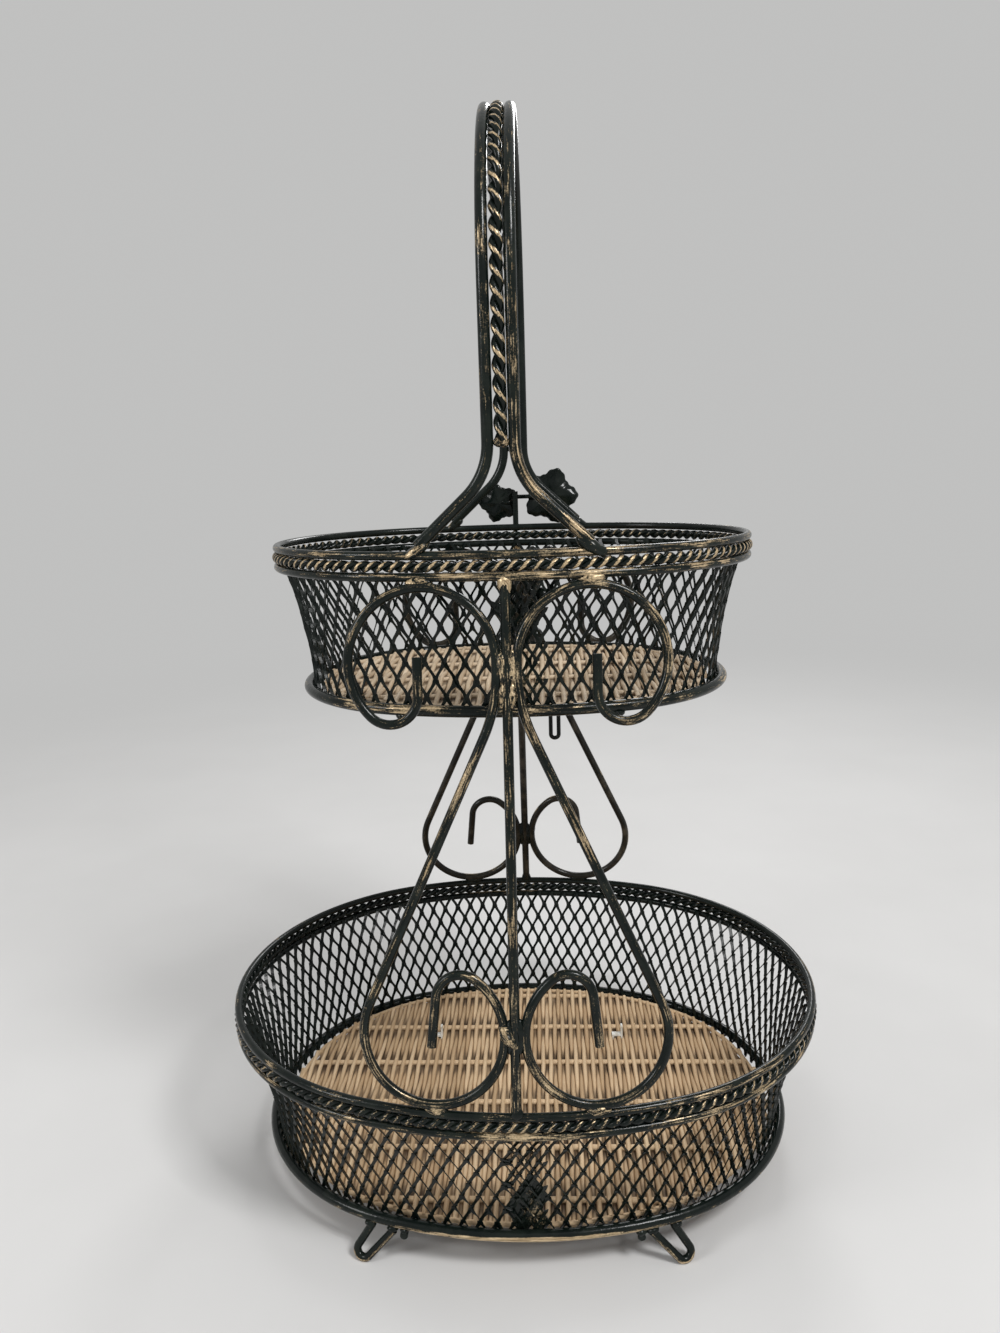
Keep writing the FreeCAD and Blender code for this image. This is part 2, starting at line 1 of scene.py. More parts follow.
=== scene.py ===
"""Looks of the tiered wire basket: brushed paint, twisted wire, expanded metal, wicker and welds."""
import logging
import math
import random
from dataclasses import dataclass, field
from enum import Enum
from functools import cache

import bpy
from mathutils import Matrix, Vector


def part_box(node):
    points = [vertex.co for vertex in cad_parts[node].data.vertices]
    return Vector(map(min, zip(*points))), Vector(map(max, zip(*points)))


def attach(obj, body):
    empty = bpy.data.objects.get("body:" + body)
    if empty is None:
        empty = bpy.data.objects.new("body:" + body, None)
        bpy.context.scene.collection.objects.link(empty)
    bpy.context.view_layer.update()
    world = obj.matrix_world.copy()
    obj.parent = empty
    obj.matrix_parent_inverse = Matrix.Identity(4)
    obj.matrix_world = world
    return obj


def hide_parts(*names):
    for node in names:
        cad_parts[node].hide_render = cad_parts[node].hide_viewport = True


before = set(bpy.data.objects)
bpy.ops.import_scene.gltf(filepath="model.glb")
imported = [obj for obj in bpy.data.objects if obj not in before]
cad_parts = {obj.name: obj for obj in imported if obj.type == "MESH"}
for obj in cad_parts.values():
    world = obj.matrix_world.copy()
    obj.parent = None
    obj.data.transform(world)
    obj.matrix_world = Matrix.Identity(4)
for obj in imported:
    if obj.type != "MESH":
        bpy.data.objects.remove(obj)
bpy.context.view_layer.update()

ROOT = "root"
UP = Vector((0.0, 0.0, 1.0))
RIGHT = Vector((1.0, 0.0, 0.0))
BACK_AND_FRONT = (-1, 1)
LEFT_AND_RIGHT = (-1, 1)
FLOAT = "NodeSocketFloat"
INT = "NodeSocketInt"
VECTOR = "NodeSocketVector"
GEOMETRY = "NodeSocketGeometry"
MATERIAL = "NodeSocketMaterial"
Colour = tuple[float, float, float]
Socket = bpy.types.NodeSocket
log = logging.getLogger("basket")


def mm(value: float) -> float:
    """Millimetres as metres."""
    return value * 0.001


class Graph:
    """A node tree with short calls for adding and joining nodes."""

    source: bpy.types.bpy_prop_collection
    sink: bpy.types.bpy_prop_collection

    def __init__(self, tree: bpy.types.NodeTree) -> None:
        """Wraps a tree."""
        self.tree = tree

    @classmethod
    def group(cls, name: str, kind: str, inputs: list[tuple[str, str, object]],
              outputs: list[tuple[str, str]]) -> "Graph":
        """Starts a node group with named sockets.

        Args:
            name: the group's name.
            kind: the type of tree.
            inputs: label, socket type and starting value of each input.
            outputs: label and socket type of each output.

        Returns:
            The graph, with its source and sink nodes in place.
        """
        tree = bpy.data.node_groups.new(name, kind)
        for label, socket, start in inputs:
            item = tree.interface.new_socket(label, in_out="INPUT", socket_type=socket)
            if start is not None:
                item.default_value = start
        for label, socket in outputs:
            tree.interface.new_socket(label, in_out="OUTPUT", socket_type=socket)
        graph = cls(tree)
        graph.source = graph.add("NodeGroupInput").outputs
        graph.sink = graph.add("NodeGroupOutput").inputs
        return graph

    @classmethod
    def grower(cls, name: str, inputs: list[tuple[str, str, object]]) -> "Graph":
        """Starts a Geometry Nodes tree that turns lines or points into a dressed mesh.

        Args:
            name: the tree's name.
            inputs: label, socket type and starting value of each size.

        Returns:
            The graph.
        """
        ends = [("Geometry", GEOMETRY, None), *inputs, ("Material", MATERIAL, None)]
        return cls.group(name, "GeometryNodeTree", ends, [("Geometry", GEOMETRY)])

    def add(self, kind: str, inputs: dict | None = None, **settings: object) -> bpy.types.Node:
        """Adds a node.

        Args:
            kind: the node's type.
            inputs: a value or a socket for each named or numbered input.
            settings: the node's own options.

        Returns:
            The node.
        """
        node = self.tree.nodes.new(kind)
        for key, value in settings.items():
            setattr(node, key, value)
        self.feed_all(node, inputs or {})
        return node

    def first(self, kind: str, inputs: dict | None = None, **settings: object) -> Socket:
        """First output of a new node."""
        return self.add(kind, inputs, **settings).outputs[0]

    def feed(self, socket: Socket, value: object) -> None:
        """Links a socket to another, or sets its value.

        Args:
            socket: the input.
            value: what goes into it.
        """
        if isinstance(value, Socket):
            self.tree.links.new(value, socket)
        else:
            socket.default_value = value

    def feed_all(self, node: bpy.types.Node, values: dict) -> None:
        """Feeds several inputs of a node."""
        for key, value in values.items():
            self.feed(node.inputs[key], value)

    # Arithmetic.

    def math(self, operation: str, *values: object) -> Socket:
        """Result of one step of arithmetic."""
        return self.first("ShaderNodeMath", dict(enumerate(values)), operation=operation)

    def plus(self, first: object, second: object) -> Socket:
        """Sum of two values."""
        return self.math("ADD", first, second)

    def minus(self, first: object, second: object) -> Socket:
        """First value less the second."""
        return self.math("SUBTRACT", first, second)

    def over(self, first: object, second: object) -> Socket:
        """First value divided by the second."""
        return self.math("DIVIDE", first, second)

    def times(self, value: object, *factors: object) -> Socket:
        """Product of two or more values.

        Args:
            value: the first of them.
            factors: the others in order.

        Returns:
            The product.
        """
        for factor in factors:
            value = self.math("MULTIPLY", value, factor)
        return value

    def times_plus(self, value: object, factor: object, more: object) -> Socket:
        """A value times a factor, and something more."""
        return self.math("MULTIPLY_ADD", value, factor, more)

    def vector(self, operation: str, *values: object) -> Socket:
        """Result of one step of vector arithmetic.

        Args:
            operation: which step.
            values: its inputs in order.

        Returns:
            A number for a length or a dot product, or else a vector.
        """
        node = self.add("ShaderNodeVectorMath", dict(enumerate(values)), operation=operation)
        plain = operation in {"DOT_PRODUCT", "LENGTH", "DISTANCE"}
        return node.outputs["Value" if plain else "Vector"]

    def scaled(self, value: object, factor: object) -> Socket:
        """A vector times a number."""
        return self.first("ShaderNodeVectorMath", {0: value, "Scale": factor}, operation="SCALE")

    def combine(self, x: object, y: object, z: object) -> Socket:
        """A vector from its three parts."""
        return self.first("ShaderNodeCombineXYZ", {0: x, 1: y, 2: z})

    def split(self, value: Socket) -> list[Socket]:
        """The three parts of a vector."""
        return list(self.add("ShaderNodeSeparateXYZ", {0: value}).outputs)

    def ease(self, value: object, low: object, high: object, start: object = 0.0,
             end: object = 1.0) -> Socket:
        """Smooth step from start to end while a value goes from low to high."""
        ends = {0: value, 1: low, 2: high, 3: start, 4: end}
        return self.first("ShaderNodeMapRange", ends, interpolation_type="SMOOTHSTEP")

    def noise(self, vector: object, scale: float, detail: float = 2.0, roughness: float = 0.5,
              output: int | str = 0) -> Socket:
        """Cloudy noise on a vector.

        Args:
            vector: where it is read.
            scale: clouds to the metre, or to one step of the vector.
            detail: how many finer layers it has.
            roughness: how much the finer layers count.
            output: its value, or its Color.

        Returns:
            The chosen output.
        """
        node = self.add("ShaderNodeTexNoise", {"Vector": vector, "Scale": scale, "Detail": detail,
                                               "Roughness": roughness})
        return node.outputs[output]

    def stray(self, place: object, scale: float, amount: object) -> Socket:
        """A small shift that wanders from place to place."""
        cloud = self.noise(place, scale, 1.0, output="Color")
        return self.scaled(self.vector("SUBTRACT", cloud, (0.5, 0.5, 0.5)), amount)

    # Materials.

    def place(self) -> Socket:
        """Object coordinates."""
        return self.add("ShaderNodeTexCoord").outputs["Object"]

    def facing(self) -> Socket:
        """Way that a surface faces."""
        return self.add("ShaderNodeNewGeometry").outputs["Normal"]

    def attribute(self, name: str) -> Socket:
        """A value that the mesh carries."""
        return self.add("ShaderNodeAttribute", attribute_name=name).outputs["Fac"]

    def blend(self, share: object, first: object, second: object) -> Socket:
        """Colour between two colours."""
        low, high = ((*end, 1.0) if isinstance(end, tuple) else end for end in (first, second))
        return self.add("ShaderNodeMix", {0: share, 6: low, 7: high}, data_type="RGBA").outputs[2]

    def bump(self, height: object, strength: float, distance: float) -> Socket:
        """Normal of a surface with a fine relief."""
        return self.first("ShaderNodeBump", {"Strength": strength, "Distance": distance, "Height": height})

    # Geometry.

    def position(self) -> Socket:
        """Place of each point."""
        return self.first("GeometryNodeInputPosition")

    def path(self) -> Socket:
        """The lines that a tree is given, as curves."""
        return self.first("GeometryNodeMeshToCurve", {"Mesh": self.source["Geometry"]})

    def named(self, name: str, kind: str = "FLOAT") -> Socket:
        """A named value of each point."""
        return self.first("GeometryNodeInputNamedAttribute", {"Name": name}, data_type=kind)

    def store(self, geometry: object, name: str, value: object) -> Socket:
        """Geometry that carries a named value at each point."""
        inputs = {"Geometry": geometry, "Name": name, "Value": value}
        return self.first("GeometryNodeStoreNamedAttribute", inputs, data_type="FLOAT", domain="POINT")

    def cube(self, size: object, x: int, y: int, z: int) -> Socket:
        """A box with so many points along its edges."""
        return self.first("GeometryNodeMeshCube", {"Size": size, "Vertices X": x, "Vertices Y": y,
                                                   "Vertices Z": z})

    def tube(self, curve: object, sides: object, radius: object) -> Socket:
        """Round wire along a curve."""
        ring = self.first("GeometryNodeCurvePrimitiveCircle", {"Resolution": sides, "Radius": radius})
        return self.first("GeometryNodeCurveToMesh", {"Curve": curve, "Profile Curve": ring,
                                                      "Fill Caps": True})

    def scatter(self, points: object, piece: object, scale: object, **inputs: object) -> Socket:
        """Copies of a piece at points."""
        return self.first("GeometryNodeInstanceOnPoints", {"Points": points, "Instance": piece,
                                                           "Scale": scale, **inputs})

    def real(self, geometry: object) -> Socket:
        """Copies made into meshes of their own."""
        return self.first("GeometryNodeRealizeInstances", {"Geometry": geometry})

    def move(self, geometry: object, **inputs: object) -> Socket:
        """Geometry with its points at a new Position, or moved by an Offset."""
        return self.first("GeometryNodeSetPosition", {"Geometry": geometry, **inputs})

    def close(self, geometry: object, smooth: bool) -> bpy.types.NodeTree:
        """Ends a tree with real geometry, its shading and its material.

        Args:
            geometry: what the tree made.
            smooth: whether its faces are shaded smooth.

        Returns:
            The finished tree.
        """
        shaded = self.first("GeometryNodeSetShadeSmooth", {"Geometry": self.real(geometry),
                                                           "Shade Smooth": smooth})
        dressed = self.first("GeometryNodeSetMaterial", {"Geometry": shaded,
                                                         "Material": self.source["Material"]})
        self.feed(self.sink["Geometry"], dressed)
        return self.tree


# Shared effects of the finishes.

class GoldSide(Enum):
    """Side of a piece that the dry brush caught."""

    OUTWARD = "out of the basket and up"
    LOW = "out of the basket and down"
    CREST = "tops of a twist"


class Effects:
    """Shader groups that several finishes share, each built once."""

    @staticmethod
    @cache
    def gold_brush() -> bpy.types.NodeTree:
        """Mask and streaks of gold dry-brushed over what stands proud.

        Returns:
            The group.
        """
        graph = Graph.group("gold_brush", "ShaderNodeTree",
                            [("Stroke", VECTOR, None), ("Place", VECTOR, None), ("Coverage", FLOAT, 0.25),
                             ("Proud", FLOAT, 0.0)], [("Mask", FLOAT), ("Streak", FLOAT)])
        stroke, place = graph.source["Stroke"], graph.source["Place"]
        total = graph.times_plus(graph.source["Proud"], 0.24, graph.minus(graph.source["Coverage"], 0.5))
        patches, hairs, specks = (place, 30.0, 3.0, 1.0), (stroke, 1.25, 5.0, 1.4), (place, 1500.0, 2.0, 0.42)
        for vector, scale, detail, weight in (patches, hairs, specks):
            cloud = graph.noise(vector, scale, detail, 0.68)
            total = graph.times_plus(graph.minus(cloud, 0.5), weight, total)
        streak = graph.noise(stroke, 2.3, 4.0, 0.7)
        graph.feed(graph.sink["Mask"], graph.ease(total, -0.05, 0.17))
        graph.feed(graph.sink["Streak"], graph.ease(streak, 0.36, 0.7))
        return graph.tree

    @staticmethod
    @cache
    def paint_skin() -> bpy.types.NodeTree:
        """Uneven tone, gloss and surface of brushed enamel over wire.

        Returns:
            The group.
        """
        graph = Graph.group("paint_skin", "ShaderNodeTree",
                            [("Stroke", VECTOR, None), ("Place", VECTOR, None)],
                            [("Tone", FLOAT), ("Gloss", FLOAT), ("Height", FLOAT)])
        cloud = graph.noise(graph.source["Place"], 95.0, 4.0, 0.6)
        grain = graph.noise(graph.source["Stroke"], 2.6, 3.0)
        lump = graph.noise(graph.source["Place"], 330.0)
        graph.feed(graph.sink["Tone"], graph.ease(cloud, 0.42, 0.72))
        graph.feed(graph.sink["Gloss"], graph.times_plus(grain, 0.22, 0.1))
        graph.feed(graph.sink["Height"], graph.times_plus(grain, 0.35, lump))
        return graph.tree


def new_material(name: str) -> tuple[bpy.types.Material, Graph, bpy.types.Node]:
    """An empty material.

    Args:
        name: the material's name.

    Returns:
        The material, its graph and its Principled shader.
    """
    material = bpy.data.materials.new(name)
    material.use_nodes = True
    material.node_tree.nodes.clear()
    graph = Graph(material.node_tree)
    shader = graph.add("ShaderNodeBsdfPrincipled")
    graph.add("ShaderNodeOutputMaterial", {"Surface": shader.outputs[0]})
    return material, graph, shader


@dataclass(frozen=True)
class BrushedPaint:
    """Green-black enamel with gold dry-brushed over the high places."""

    name: str
    coverage: float
    side: GoldSide = GoldSide.OUTWARD
    centre: float = 0.0
    spread: float = mm(55)
    paint: Colour = (0.003, 0.0058, 0.0048)
    thin: Colour = (0.0095, 0.0135, 0.0105)
    gold: Colour = (0.78, 0.61, 0.385)
    tan: Colour = (0.3, 0.215, 0.12)
    metal: float = 0.4
    shine: float = 0.22
    relief: float = mm(0.35)
    hairs: tuple[float, float, float] = (55.0, 55.0, 55.0)

    def stroke(self, graph: Graph, place: Socket) -> Socket:
        """Coordinates that change fast round a wire and slowly along it."""
        return graph.vector("MULTIPLY_ADD", place, self.hairs, graph.scaled(graph.facing(), 1.9))

    def proud(self, graph: Graph, place: Socket) -> Socket:
        """How far a surface faces the side that the brush caught.

        Args:
            graph: the material's graph.
            place: Object coordinates.

        Returns:
            A value that is high where the brush left most gold.
        """
        normal = graph.facing()
        x, y = graph.split(place)[:2]
        outward = graph.vector("NORMALIZE", graph.combine(x, y, 0.0))
        upward = graph.times(graph.split(normal)[2], -0.62 if self.side is GoldSide.LOW else 0.3)
        total = graph.times_plus(graph.vector("DOT_PRODUCT", normal, outward), 0.75, upward)
        if self.side is GoldSide.LOW:
            total = graph.ease(total, 0.2, 0.7, -3.0, 1.6)
        if self.side is GoldSide.CREST:
            total = graph.plus(total, graph.ease(graph.attribute("crest"), 0.86, 1.0, -3.5, 0.9))
        middle = graph.ease(graph.math("ABSOLUTE", x), 0.0, self.spread, self.centre, 0.0)
        return graph.plus(total, middle)

    def material(self) -> bpy.types.Material:
        """Builds the material.

        Returns:
            The material.
        """
        material, graph, shader = new_material(self.name)
        place = graph.place()
        ways = {"Stroke": self.stroke(graph, place), "Place": place}
        brush = graph.add("ShaderNodeGroup", node_tree=Effects.gold_brush())
        graph.feed_all(brush, {**ways, "Coverage": self.coverage, "Proud": self.proud(graph, place)})
        skin = graph.add("ShaderNodeGroup", node_tree=Effects.paint_skin())
        graph.feed_all(skin, ways)
        mask = brush.outputs["Mask"]
        dark = graph.blend(skin.outputs["Tone"], self.paint, self.thin)
        bright = graph.blend(brush.outputs["Streak"], self.tan, self.gold)
        graph.feed_all(shader, {
            "Base Color": graph.blend(mask, dark, bright),
            "Metallic": graph.times(mask, self.metal),
            "Roughness": graph.times_plus(mask, 0.14, skin.outputs["Gloss"]),
            "Specular IOR Level": self.shine,
            "Normal": graph.bump(skin.outputs["Height"], 0.28, self.relief)})
        return material


@dataclass(frozen=True)
class CaneFinish:
    """Peeled cane: tan reeds of uneven tone, with dark stains, fine fibres along them and painted shade where
    they dip low in the weave.
    """

    name: str = "peeled_cane"
    pale: Colour = (0.64, 0.475, 0.3)
    deep: Colour = (0.44, 0.3, 0.17)
    # Colour of the real stain spots, and also of the painted shade in the weave's low places.
    stain_and_shade: Colour = (0.075, 0.046, 0.026)
    shine: float = 0.3
    relief: float = mm(0.3)
    drawn_out: float = 0.06

    def material(self) -> bpy.types.Material:
        """Builds the material.

        Returns:
            The material.
        """
        material, graph, shader = new_material(self.name)
        place = graph.place()
        x, y, z = graph.split(place)
        drawn = graph.combine(x, graph.times(y, self.drawn_out), z)
        fibre = graph.noise(drawn, 1500.0, 3.0, 0.6)
        cloud = graph.noise(place, 55.0, 3.0, 0.6)
        patch = graph.noise(drawn, 240.0, 3.0, 0.7)
        dusk = graph.noise(place, 45.0, 3.0, 0.6)
        share = graph.times_plus(fibre, 0.45, graph.times(graph.attribute("tone"), 0.75))
        share = graph.times_plus(cloud, 0.5, share)
        colour = graph.blend(graph.ease(share, 0.35, 1.15), self.pale, self.deep)
        colour = graph.blend(graph.ease(patch, 0.64, 0.8, 0.0, 0.6), colour, self.stain_and_shade)
        # Painted shade: reeds darken towards the stain-and-shade colour where they dip low in the weave, more
        # in some patches than others.
        under = graph.ease(graph.attribute("rise"), 0.0, 0.3, 1.0, 0.0)
        hollow = graph.times(under, graph.ease(dusk, 0.38, 0.62, 0.6, 1.0))
        graph.feed_all(shader, {
            "Base Color": graph.blend(hollow, colour, self.stain_and_shade),
            "Roughness": graph.times_plus(fibre, 0.25, 0.5),
            "Specular IOR Level": self.shine,
            "Normal": graph.bump(fibre, 0.35, self.relief)})
        return material


@dataclass(frozen=True)
class StrapFinish:
    """White nylon strap, a little soiled."""

    name: str = "white_strap"
    clean: Colour = (0.72, 0.72, 0.68)
    soiled: Colour = (0.5, 0.47, 0.4)
    relief: float = mm(0.2)

    def material(self) -> bpy.types.Material:
        """Builds the material.

        Returns:
            The material.
        """
        material, graph, shader = new_material(self.name)
        cloud = graph.noise(graph.place(), 400.0, 3.0)
        graph.feed_all(shader, {
            "Base Color": graph.blend(graph.ease(cloud, 0.4, 0.75), self.clean, self.soiled),
            "Roughness": graph.times_plus(cloud, 0.2, 0.35),
            "Normal": graph.bump(cloud, 0.2, self.relief)})
        return material


# Trees that make what repeats.

class ExpandedMetal:
    """Slit and stretched sheet: zigzag strands that meet in pairs, bent round an oval wall."""

    UNIT = (1.0, 1.0, 1.0)
    FILM_TAPER = -0.8
    PANE_TAPER = -1.9
    LAP_SHIFT = 0.37
    LEAST_FILM = 0.35
    MOST_FILM = 1.2
    WOBBLE_SCALE = 42.0

    def __init__(self) -> None:
        """Starts the tree with the values that its steps share."""
        graph = self.graph = Graph.grower("expanded_metal", [
            ("Columns", INT, 120), ("Lap", INT, 5), ("Rows", INT, 10), ("Foot Z", FLOAT, 0.0),
            ("Height", FLOAT, 0.06), ("Top Inset", FLOAT, 0.0), ("Foot Inset", FLOAT, 0.0),
            ("Sag", FLOAT, 0.0), ("Strand Width", FLOAT, 0.001), ("Strand Depth", FLOAT, 0.001),
            ("Swell", FLOAT, 0.0), ("Seam", FLOAT, 0.0), ("Right Tilt", FLOAT, 0.5),
            ("Left Tilt", FLOAT, -0.5), ("Wobble", FLOAT, 0.0), ("Film", FLOAT, 0.002),
            ("Clog", VECTOR, None), ("Clog Size", FLOAT, 0.0), ("Seed", INT, 0)])
        self.src = graph.source
        self.path = graph.path()
        self.girth = graph.first("GeometryNodeCurveLength", {"Curve": self.path})
        self.pitch = graph.over(self.girth, self.src["Columns"])
        self.rise = graph.over(self.src["Height"], self.src["Rows"])
        self.here = graph.position()
        self.x, self.y, self.z = graph.split(self.here)
        self.share = graph.plus(self.z, 0.5)
        self.thin_y = graph.times(self.y, self.src["Strand Depth"], 0.5)

    def strands(self) -> Socket:
        """The two strands that rise from a knot, one to each side.

        Returns:
            The pair, with the knot at its foot.
        """
        graph, src = self.graph, self.src
        width = src["Strand Width"]
        bar = graph.cube(graph.combine(width, src["Strand Depth"], 1.0), 2, 2, 6)
        travel = graph.minus(graph.times(self.pitch, 0.5), graph.times(width, 0.4))
        reach = graph.times_plus(graph.ease(self.share, 0.0, 1.0), travel, graph.times(width, 0.2))
        swell = graph.times_plus(graph.ease(self.share, 0.45, 1.0), src["Swell"], 1.0)
        swollen = graph.times(self.x, swell)
        pair = graph.add("GeometryNodeJoinGeometry")
        for slope, tilt in ((1.0, src["Right Tilt"]), (-1.0, src["Left Tilt"])):
            cosine, sine = graph.math("COSINE", tilt), graph.math("SINE", tilt)
            side = graph.times_plus(swollen, cosine, graph.times(self.y, sine))
            out = graph.minus(graph.times(self.y, cosine), graph.times(swollen, sine))
            across = graph.times_plus(reach, slope, side)
            place = graph.combine(across, out, graph.times(self.share, self.rise))
            graph.feed(pair.inputs[0], graph.move(bar, Position=place))
        return pair.outputs[0]

    def knots(self) -> Socket:
        """Points of the flat sheet from which strands rise, every second row half a step along.

        Returns:
            The points.
        """
        graph, src = self.graph, self.src
        columns = graph.plus(src["Columns"], src["Lap"])
        last_column = graph.minus(columns, 1.0)
        last_row = graph.minus(src["Rows"], 1.0)
        grid = graph.first("GeometryNodeMeshGrid", {"Size X": last_column, "Size Y": last_row,
                                                    "Vertices X": columns, "Vertices Y": src["Rows"]})
        column = graph.math("ROUND", graph.times_plus(last_column, 0.5, self.x))
        row = graph.math("ROUND", graph.times_plus(last_row, 0.5, self.y))
        step = graph.times_plus(graph.math("MODULO", row, 2.0), 0.5, column)
        flat = graph.combine(graph.times(step, self.pitch), 0.0, graph.times(row, self.rise))
        return graph.move(grid, Position=flat)

    def film(self) -> Socket:
        """Web of paint under a knot, narrow at the knot and arched below.

        Returns:
            The web, one unit high.
        """
        graph = self.graph
        spread = graph.over(self.pitch, self.rise)
        across = graph.times(self.x, graph.times_plus(self.share, self.FILM_TAPER, 1.0), spread)
        middle = graph.minus(1.0, graph.times(graph.math("ABSOLUTE", self.x), 2.0))
        arch = graph.times(graph.minus(1.0, self.share), middle)
        up = graph.times_plus(arch, 0.5, graph.minus(self.share, 1.0))
        return graph.move(graph.cube(self.UNIT, 3, 2, 2), Position=graph.combine(across, self.thin_y, up))

    def pane(self) -> Socket:
        """Paint that closes a whole opening.

        Returns:
            The diamond above a knot.
        """
        graph = self.graph
        narrow = graph.times_plus(graph.math("ABSOLUTE", self.z), self.PANE_TAPER, 1.0)
        across = graph.times(self.x, self.pitch, narrow)
        up = graph.times(self.share, 2.0, self.rise)
        return graph.move(graph.cube(self.UNIT, 2, 2, 3), Position=graph.combine(across, self.thin_y, up))

    def sheet(self) -> Socket:
        """The flat sheet: strands at every knot, webs above the first row and a clogged spot.

        Returns:
            The sheet, a little uneven.
        """
        graph, src = self.graph, self.src
        span = {2: self.LEAST_FILM, 3: self.MOST_FILM, "Seed": src["Seed"]}
        chance = graph.add("FunctionNodeRandomValue", span, data_type="FLOAT").outputs[1]
        low_down = graph.ease(self.z, 0.0, graph.times(src["Height"], 0.6), 2.0, 1.1)
        reach = graph.times(chance, low_down, src["Film"])
        inside = graph.math("GREATER_THAN", self.z, graph.times(self.rise, 0.5))
        cell = graph.vector("ADD", self.here, graph.combine(0.0, 0.0, self.rise))
        apart = graph.vector("MULTIPLY", graph.vector("SUBTRACT", cell, src["Clog"]), (1.0, 1.0, 0.65))
        bound = graph.times(src["Clog Size"], graph.times_plus(chance, 0.2, 0.9))
        clogged = graph.math("LESS_THAN", graph.vector("LENGTH", apart), bound)
        knots = self.knots()
        cells = graph.add("GeometryNodeJoinGeometry")
        for piece, chosen, size in ((self.strands(), True, self.UNIT),
                                    (self.film(), inside, graph.combine(reach, 1.0, reach)),
                                    (self.pane(), clogged, self.UNIT)):
            graph.feed(cells.inputs[0], graph.scatter(knots, piece, size, Selection=chosen))
        uneven = graph.stray(self.here, self.WOBBLE_SCALE, src["Wobble"])
        return graph.move(graph.real(cells.outputs[0]), Offset=uneven)

    def wall(self) -> Socket:
        """Place on the wall for each point of the flat sheet.

        Returns:
            The place, a sheet's thickness further out where the ends lap.
        """
        graph, src = self.graph, self.src
        lapped = graph.math("GREATER_THAN", self.x, self.girth)
        shifted = graph.times_plus(graph.times(lapped, self.pitch), self.LAP_SHIFT, self.x)
        turn = graph.math("FRACT", graph.over(graph.plus(shifted, src["Seam"]), self.girth))
        spot = graph.add("GeometryNodeSampleCurve", {"Curves": self.path, "Factor": turn},
                         mode="FACTOR").outputs
        outward = graph.vector("NORMALIZE", graph.vector("CROSS_PRODUCT", spot["Tangent"], tuple(UP)))
        facing = graph.math("SIGN", graph.vector("DOT_PRODUCT", outward, spot["Position"]))
        high = graph.over(self.z, src["Height"])
        hollow = graph.times(high, graph.minus(1.0, high), 4.0)
        slope = graph.times(high, graph.minus(src["Top Inset"], src["Foot Inset"]))
        inset = graph.plus(graph.times_plus(hollow, src["Sag"], src["Foot Inset"]), slope)
        off = graph.minus(graph.times_plus(lapped, src["Strand Depth"], self.y), inset)
        wall = graph.vector("ADD", spot["Position"], graph.scaled(outward, graph.times(off, facing)))
        return graph.vector("ADD", wall, graph.combine(0.0, 0.0, graph.plus(self.z, src["Foot Z"])))

    def tree(self) -> bpy.types.NodeTree:
        """The finished tree."""
        return self.graph.close(self.graph.move(self.sheet(), Position=self.wall()), smooth=False)


